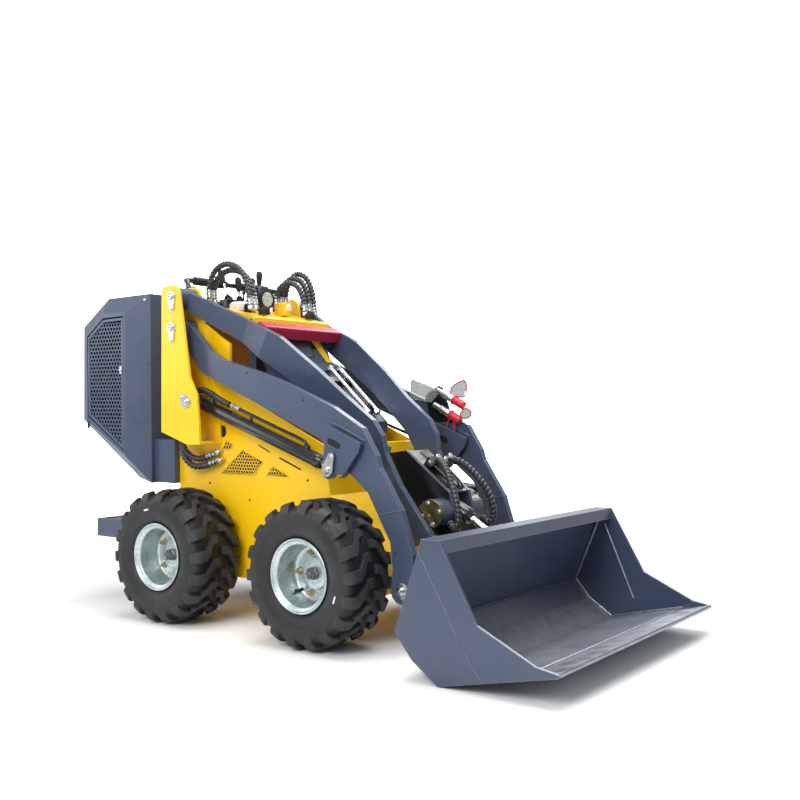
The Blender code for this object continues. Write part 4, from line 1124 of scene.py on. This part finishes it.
for k in guardLook["clampsDown"]:
    foot = at(-0.02, 0, 0.868) + along * k
    clamps.append(slab(softRect(0.024, 0.284, 0.003), 0.0004, 0.022, foot, along, yAxis, up, 0.001))
    for y in guardLook["clampBolts"]:
        clamps.append(bolt(foot + up * 0.022 + yAxis * y, up, 0.01, 0.006))
made("pipe_clamps", clamps, blackPaint, "chassis")
outline = np.array(guardLook["window"]) + (midX, 0)
windows = [perforated(outline, 0.0085, 0.0034, 0.1575, 0.1585, 0, xAxis, zAxis, side * yAxis)
           for side in (-1, 1)]
made("guard_window_mesh", windows, castIron, "chassis")


# console: tank cap, knobs, levers, bar, lamp

def deckZ(x):
    # the sloping deck's height: a straight line from its rear edge to its front edge
    return 1.124 + (x + 0.424) * (1.066 - 1.124) / (-0.14 + 0.424)


barPath = [at(-0.432, -0.235, 1.18), at(-0.442, -0.235, 1.2), at(-0.455, -0.21, 1.212), at(-0.455, 0, 1.212),
           at(-0.455, 0.21, 1.212), at(-0.442, 0.235, 1.2), at(-0.432, 0.235, 1.18)]
bar = swept(evenly(curveThrough(barPath, 12), 0.006), 0.0095, zAxis + xAxis * 0.3, 20)
feet = [slab(softRect(0.034, 0.066, 0.006), -0.0135, 0.0135, at(-0.431, side * 0.2285, 1.152), xAxis, zAxis,
             yAxis, 0.002) for side in (-1, 1)]
made("operator_bar", [bar, *feet], blackPaint, "chassis", 35, ["hand_bar"])
profile = [(0, -0.082), (0.0125, -0.082), (0.0158, -0.078), (0.016, 0.0), (0.0158, 0.078), (0.0125, 0.082),
           (0, 0.082)]
grips = [turned(profile, at(-0.455, side * 0.112, 1.212), yAxis, 28) for side in (-1, 1)]
made("operator_bar_foam", grips, foam, "chassis")

leverLook = {
    # across, how far the top leans forward, height of the top
    "levers": ((-0.078, -0.03, 1.262), (-0.02, -0.006, 1.236), (0.03, 0.01, 1.236), (0.082, 0.002, 1.268)),
    "x": -0.39,
    "boot": [(0.0185, -0.002), (0.019, 0.003), (0.015, 0.005), (0.0165, 0.008), (0.0125, 0.01),
             (0.014, 0.013), (0.01, 0.015), (0.0115, 0.018), (0.007, 0.022), (0, 0.022)],
    "knob": [(0, -0.006), (0.007, -0.006), (0.009, 0.002), (0.0115, 0.018), (0.0128, 0.034), (0.0115, 0.044),
             (0.007, 0.05), (0, 0.0515)],
}
leverX = leverLook["x"]
leverBase = slab(softRect(0.048, 0.21, 0.006), -0.004, 0.026, at(-0.3905, 0, deckZ(leverX) + 0.0045), xAxis,
                 yAxis, zAxis, 0.002)
sticks, boots, knobs = [], [], []
for y, lean, top in leverLook["levers"]:
    foot, head = at(leverX, y, 1.146), at(leverX + lean, y, top - 0.045)
    sticks.append(swept(straight(foot, head), 0.005, yAxis, 14))
    boots.append(turned(leverLook["boot"], foot - zAxis * 0.002, head - foot, 24))
    knobs.append(turned(leverLook["knob"], head - zAxis * 0.002, head - foot + zAxis * 0.02, 24))
made("lever_base", leverBase, blackPaint, "chassis", 35, ["control_levers"])
made("lever_sticks", sticks, chrome, "chassis")
made("lever_boots", boots, hoseRubber, "chassis")
made("lever_knobs", knobs, foam, "chassis")

tankLook = {"x": -0.318, "y": -0.07, "oval": (1, 1.35, 1), "ribs": 20}
capSpot = at(tankLook["x"], tankLook["y"], deckZ(tankLook["x"]) - 0.004)
tank = [(0.04, 0.0), (0.0415, 0.004), (0.0415, 0.026), (0.0395, 0.031), (0.034, 0.0345), (0.0, 0.036)]
neck, neckFaces = turned(tank, capSpot, zAxis, 48)
neck = capSpot + (neck - capSpot) * tankLook["oval"]
made("tank_neck", (neck, neckFaces), whitePlastic, "chassis", 40)
ribs = []
for k in range(tankLook["ribs"]):
    spoke = towards(2 * np.pi * k / tankLook["ribs"], xAxis, yAxis)
    ribs.append(slab(softRect(0.0035, 0.003, 0.0008, 1), 0.006, 0.025,
                     capSpot + spoke * tankLook["oval"] * 0.0418, spoke, np.cross(zAxis, spoke), zAxis,
                     0.0004))
made("tank_neck_ribs", ribs, whitePlastic, "chassis")
dip = [swept(np.stack([capSpot + zAxis * 0.034, capSpot + zAxis * 0.066]), 0.0032, yAxis, 12),
       turned([(0, 0.0), (0.006, 0.0), (0.0068, 0.003), (0.0068, 0.01), (0.005, 0.014), (0, 0.0145)],
              capSpot + zAxis * 0.064, zAxis, 20)]
made("dip_rod", dip, castIron, "chassis")
bellows = [(0.013, 0.0)]
for k in range(5):
    bellows += [(0.015, 0.003 + 0.006 * k), (0.0115, 0.006 + 0.006 * k)]
bellows += [(0.009, 0.034), (0, 0.034)]
bellowsSpot = at(-0.262, -0.105, deckZ(-0.262) - 0.003)
made("deck_bellows", turned(bellows, bellowsSpot, zAxis, 24), hoseRubber, "chassis")

wings = []
for y in (-0.124, 0.124):
    spot = at(-0.158, y, 1.0752)
    wings.append(slab(softRect(0.0264, 0.0404, 0.006), -0.0004, 0.0212, spot, xAxis, yAxis, zAxis, 0.0012))
    wings.append(slab(softRect(0.018, 0.05, 0.008), 0.006, 0.02, spot, xAxis, yAxis, zAxis, 0.002))
    wings.append(turned([(0.0115, 0.018), (0.0115, 0.026), (0.0095, 0.029), (0, 0.0295)], spot, zAxis, 24))
made("wing_knobs", wings, foam, "chassis")

lampLook = {
    "shell": [(0, -0.0195), (0.024, -0.0195), (0.03, -0.016), (0.0355, -0.009), (0.0362, 0.004)],
    "fin": np.array([(0.0362, 0.005), (0.0338, 0.0065), (0.0338, 0.0085), (0.0362, 0.0095)]),
    "fins": 3, "finStep": 0.005,
    "rim": [(0.0368, 0.0225), (0.0345, 0.0238), (0.03, 0.0238), (0.0295, 0.019), (0, 0.019)],
    "cell": [(0.0075, 0.02), (0.007, 0.023), (0.0045, 0.0236), (0.0035, 0.022), (0, 0.022)],
    "cells": 6, "cellCircle": 0.0175,
}
low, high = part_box("work_lamp")
lampSpot = np.array(((low.x + high.x) / 2 - 0.002, (low.y + high.y) / 2, high.z - 0.037))
fins = [lampLook["fin"] + (0, k * lampLook["finStep"]) for k in range(lampLook["fins"])]
shell = np.vstack([lampLook["shell"], *fins, lampLook["rim"]])
yoke = slab(softRect(0.014, 0.024, 0.003), deckZ(-0.245) + 0.001, lampSpot[2] - 0.028, lampSpot * (1, 1, 0),
            xAxis, yAxis, zAxis, 0.001)
made("lamp_shell", [turned(shell, lampSpot, xAxis, 48), yoke], castIron, "chassis", 30, ["work_lamp"])
cells = [turned([(0.029, 0.0192), (0.029, 0.0205), (0.028, 0.0212), (0, 0.0218)], lampSpot, xAxis, 40)]
ringed = [lampLook["cellCircle"] * towards(2 * np.pi * k / lampLook["cells"],
                                           yAxis) for k in range(lampLook["cells"])]
for shift in ringed + [0]:
    cells.append(turned(lampLook["cell"], lampSpot + shift, xAxis, 18))
made("lamp_cells", cells, lampGlass, "chassis", 40)
horn = slab(softRect(0.056, 0.04, 0.006), 0.0, 0.05, at(-0.235, 0.055, deckZ(-0.235) + 0.0006), xAxis, yAxis,
            zAxis, 0.002)
button = turned([(0.0135, 0.0), (0.0135, 0.006), (0.011, 0.009), (0, 0.0095)],
                at(-0.2072, 0.055, deckZ(-0.235) + 0.03), xAxis, 28)
made("switch_bracket", horn, yellow, "chassis")
made("switch_button", button, whitePlastic, "chassis")
print("console ready")


# auxiliary couplers on the left lower arm

couplerY = 0.2825
couplerLook = {
    "lines": (((0.345, 0.793), (0.44, 0.745)), ((0.33, 0.741), (0.421, 0.694))),
    "bracket": [(0.29, 0.69), (0.268, 0.775), (0.276, 0.79), (0.328, 0.82), (0.344, 0.812), (0.392, 0.69)],
    "clear": [(0.206, 0.772), (0.206, 0.836), (0.216, 0.845), (0.33, 0.806), (0.337, 0.794), (0.3, 0.758)],
    "tags": ([(0.38, 0.786), (0.386, 0.812), (0.415, 0.831), (0.443, 0.836), (0.45, 0.812), (0.438, 0.778)],
             [(0.422, 0.716), (0.436, 0.734), (0.458, 0.735), (0.47, 0.722), (0.46, 0.704), (0.436, 0.702)]),
    "lanyard": [(0.386, 0.708), (0.402, 0.682), (0.398, 0.65), (0.38, 0.634), (0.364, 0.648), (0.37, 0.68),
                (0.384, 0.706)],
    "sleeve": [(0, -0.024), (0.0095, -0.024), (0.0105, -0.02), (0.0105, 0.006), (0.013, 0.008),
               (0.0142, 0.012), (0.0142, 0.026), (0.013, 0.028), (0.013, 0.032), (0.0142, 0.034),
               (0.0142, 0.052), (0.012, 0.056), (0, 0.056)],
    "cap": [(0.0125, 0.052), (0.015, 0.053), (0.0156, 0.058), (0.0156, 0.098), (0.0148, 0.103),
            (0.011, 0.1055), (0, 0.1055)],
    "capRing": [(0.016, 0.054), (0.018, 0.055), (0.018, 0.06), (0.016, 0.061)],
}


def onArm(points, y):
    # places on the plane of the left arm, y across
    return np.array([at(x, y, z) for x, z in points])


def flatPlate(points, low, high, bevel):
    return slab(np.array(points) + (midX, 0), couplerY + low, couplerY + high, 0, xAxis, zAxis, yAxis, bevel)


made("coupler_plate", flatPlate(couplerLook["bracket"], -0.003, 0.003, 0.0008), blackPaint, "lower_arms", 35,
     ["aux_couplers"])
sleeves, caps, cords, clears = [], [], [], []
for first, last in couplerLook["lines"]:
    start, end = onArm((first, last), couplerY - 0.004)
    way = unit(end - start)
    sleeves.append(turned(couplerLook["sleeve"], start, way, 36))
    caps.append(turned(couplerLook["cap"], start, way, 36))
    caps.append(turned(couplerLook["capRing"], start, way, 36, True))
for points in couplerLook["tags"]:
    ring = onArm(list(points) + [points[0]], couplerY - 0.006)
    cords.append(swept(curveThrough(ring, 6), 0.0026, yAxis, 8))
    clears.append(flatPlate(points, -0.0068, -0.0056, 0.0002))
cords.append(swept(curveThrough(onArm(couplerLook["lanyard"], couplerY - 0.01), 6), 0.0026, yAxis, 8))
made("coupler_sleeves", sleeves, zincPlate, "lower_arms", 30)
made("coupler_caps", caps + cords, redCap, "lower_arms", 40)
clears.append(flatPlate(couplerLook["clear"], -0.0115, -0.0085, 0.0006))
made("coupler_clear_plate", clears, clearGuard, "lower_arms")


# step plate: perforated tread

stepLook = {"rows": 9, "across": 8, "oval": (0.022, 0.03, 0.0108), "edge": 0.02, "stagger": 0.25}
low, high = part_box("step_platform")
middle = np.array(((low.x + high.x) / 2, 0, high.z))
stepX = (high.x - low.x - stepLook["edge"]) / stepLook["rows"]
stepY = (high.y - low.y - stepLook["edge"]) / (stepLook["across"] + 0.5)
outline = softRect(*stepLook["oval"], 5)
collar = ((inset(outline, -0.004), 0.0002), (inset(outline, -0.001), 0.0028), (outline, 0.003),
          (inset(outline, 0.001), 0.0004))
ovals, rims = [], []
for i in range(stepLook["rows"]):
    shift = stepLook["stagger"] if i % 2 else -stepLook["stagger"]
    for k in range(stepLook["across"]):
        spot = middle + xAxis * (i - (stepLook["rows"] - 1) / 2) * stepX + yAxis * (
            k - (stepLook["across"] - 1) / 2 + shift) * stepY
        rims.append(band(collar, spot, xAxis, yAxis, zAxis))
        # painted shade in each hole: a near-black oval sheet
        ovals.append(slab(inset(outline, 0.0008), 0.0002, 0.0008, spot, xAxis, yAxis, zAxis, 0.0001))
made("step_tread_rims", rims, slate, "chassis", 50)
made("step_tread_holes", ovals, holeShade, "chassis")
print("step ready")


# floor, light, camera

studioLook = {
    "half": 40.0, "fade": (1.5, 5.0),
    "skyLight": 0.5, "skySeen": 3.4,       # the sky as a light, and as the backdrop behind the floor's end
    # name, place, watts, size, tint
    "lamps": (
        ("key", (0.9, -4.2, 3.2), 150, 2.4, (1.0, 0.99, 0.97)),
        ("fill", (-3.6, -2.4, 2.2), 45, 2.6, (0.95, 0.98, 1.0)),
        ("back", (-0.6, 3.8, 3.0), 90, 2.6, (1.0, 1.0, 1.0)),
        ("top", (0.3, 0.2, 4.2), 170, 3.0, (1.0, 1.0, 1.0)),
    ),
}


def studio():
    f = Finish("studio_floor", 0.75)
    f.colour(f.blend(f.ramp(f.noise(2, 3), 0.3, 0.7, 0, 1), (0.93, 0.93, 0.925), (0.91, 0.91, 0.908)))
    distance = f.add("ShaderNodeVectorMath", operation="LENGTH")
    f.link(f.place, distance.inputs[0])
    clear = f.add("ShaderNodeBsdfTransparent")
    fade = f.add("ShaderNodeMixShader")
    f.link(f.ramp(distance.outputs["Value"], *studioLook["fade"], 0.0, 1.0), fade.inputs[0])
    f.link(f.shader.outputs[0], fade.inputs[1])
    f.link(clear.outputs[0], fade.inputs[2])
    f.link(fade.outputs[0], f.tree.nodes["Material Output"].inputs["Surface"])
    mesh = bpy.data.meshes.new("studio_floor")
    half, z = studioLook["half"], -0.001
    mesh.from_pydata([(-half, -half, z), (half, -half, z), (half, half, z), (-half, half, z)], [],
                     [(0, 1, 2, 3)])
    floor = bpy.data.objects.new("studio_floor", mesh)
    bpy.context.scene.collection.objects.link(floor)
    mesh.materials.append(f.material)
    world = bpy.data.worlds.new("studio")
    bpy.context.scene.world = world
    world.use_nodes = True
    tree = world.node_tree
    tree.nodes["Background"].inputs["Color"].default_value = (0.95, 0.975, 1.0, 1)
    tree.nodes["Background"].inputs["Strength"].default_value = studioLook["skyLight"]
    seen = tree.nodes.new("ShaderNodeBackground")
    seen.inputs["Color"].default_value = (1.0, 1.0, 1.0, 1)
    seen.inputs["Strength"].default_value = studioLook["skySeen"]
    mix = tree.nodes.new("ShaderNodeMixShader")
    tree.links.new(tree.nodes.new("ShaderNodeLightPath").outputs["Is Camera Ray"], mix.inputs[0])
    tree.links.new(tree.nodes["Background"].outputs[0], mix.inputs[1])
    tree.links.new(seen.outputs[0], mix.inputs[2])
    tree.links.new(mix.outputs[0], tree.nodes["World Output"].inputs["Surface"])
    for name, place, power, size, tint in studioLook["lamps"]:
        light = bpy.data.lights.new(name, "AREA")
        light.energy, light.size, light.color = power, size, tint
        lamp = bpy.data.objects.new(name, light)
        lamp.location = place
        lamp.rotation_euler = (Vector((0, 0, 0.5)) - Vector(place)).to_track_quat("-Z", "Y").to_euler()
        bpy.context.scene.collection.objects.link(lamp)


cameraLook = {"lens": 45.36, "sensor": 36.0, "place": at(2.40851, -2.74736, 0.75226), "azimuth": 36.704,
              "elevation": -0.236}


def makeCamera():
    data = bpy.data.cameras.new("camera")
    data.lens, data.sensor_width = cameraLook["lens"], cameraLook["sensor"]
    camera = bpy.data.objects.new("camera", data)
    a, e = math.radians(cameraLook["azimuth"]), math.radians(cameraLook["elevation"])
    back = Vector((math.sin(a) * math.cos(e), -math.cos(a) * math.cos(e), math.sin(e)))
    camera.location = cameraLook["place"]
    camera.rotation_mode = "QUATERNION"
    camera.rotation_quaternion = (-back).to_track_quat("-Z", "Y")
    bpy.context.scene.collection.objects.link(camera)
    bpy.context.scene.camera = camera


studio()
makeCamera()
bpy.context.scene.view_settings.view_transform = "Standard"
print("scene ready")
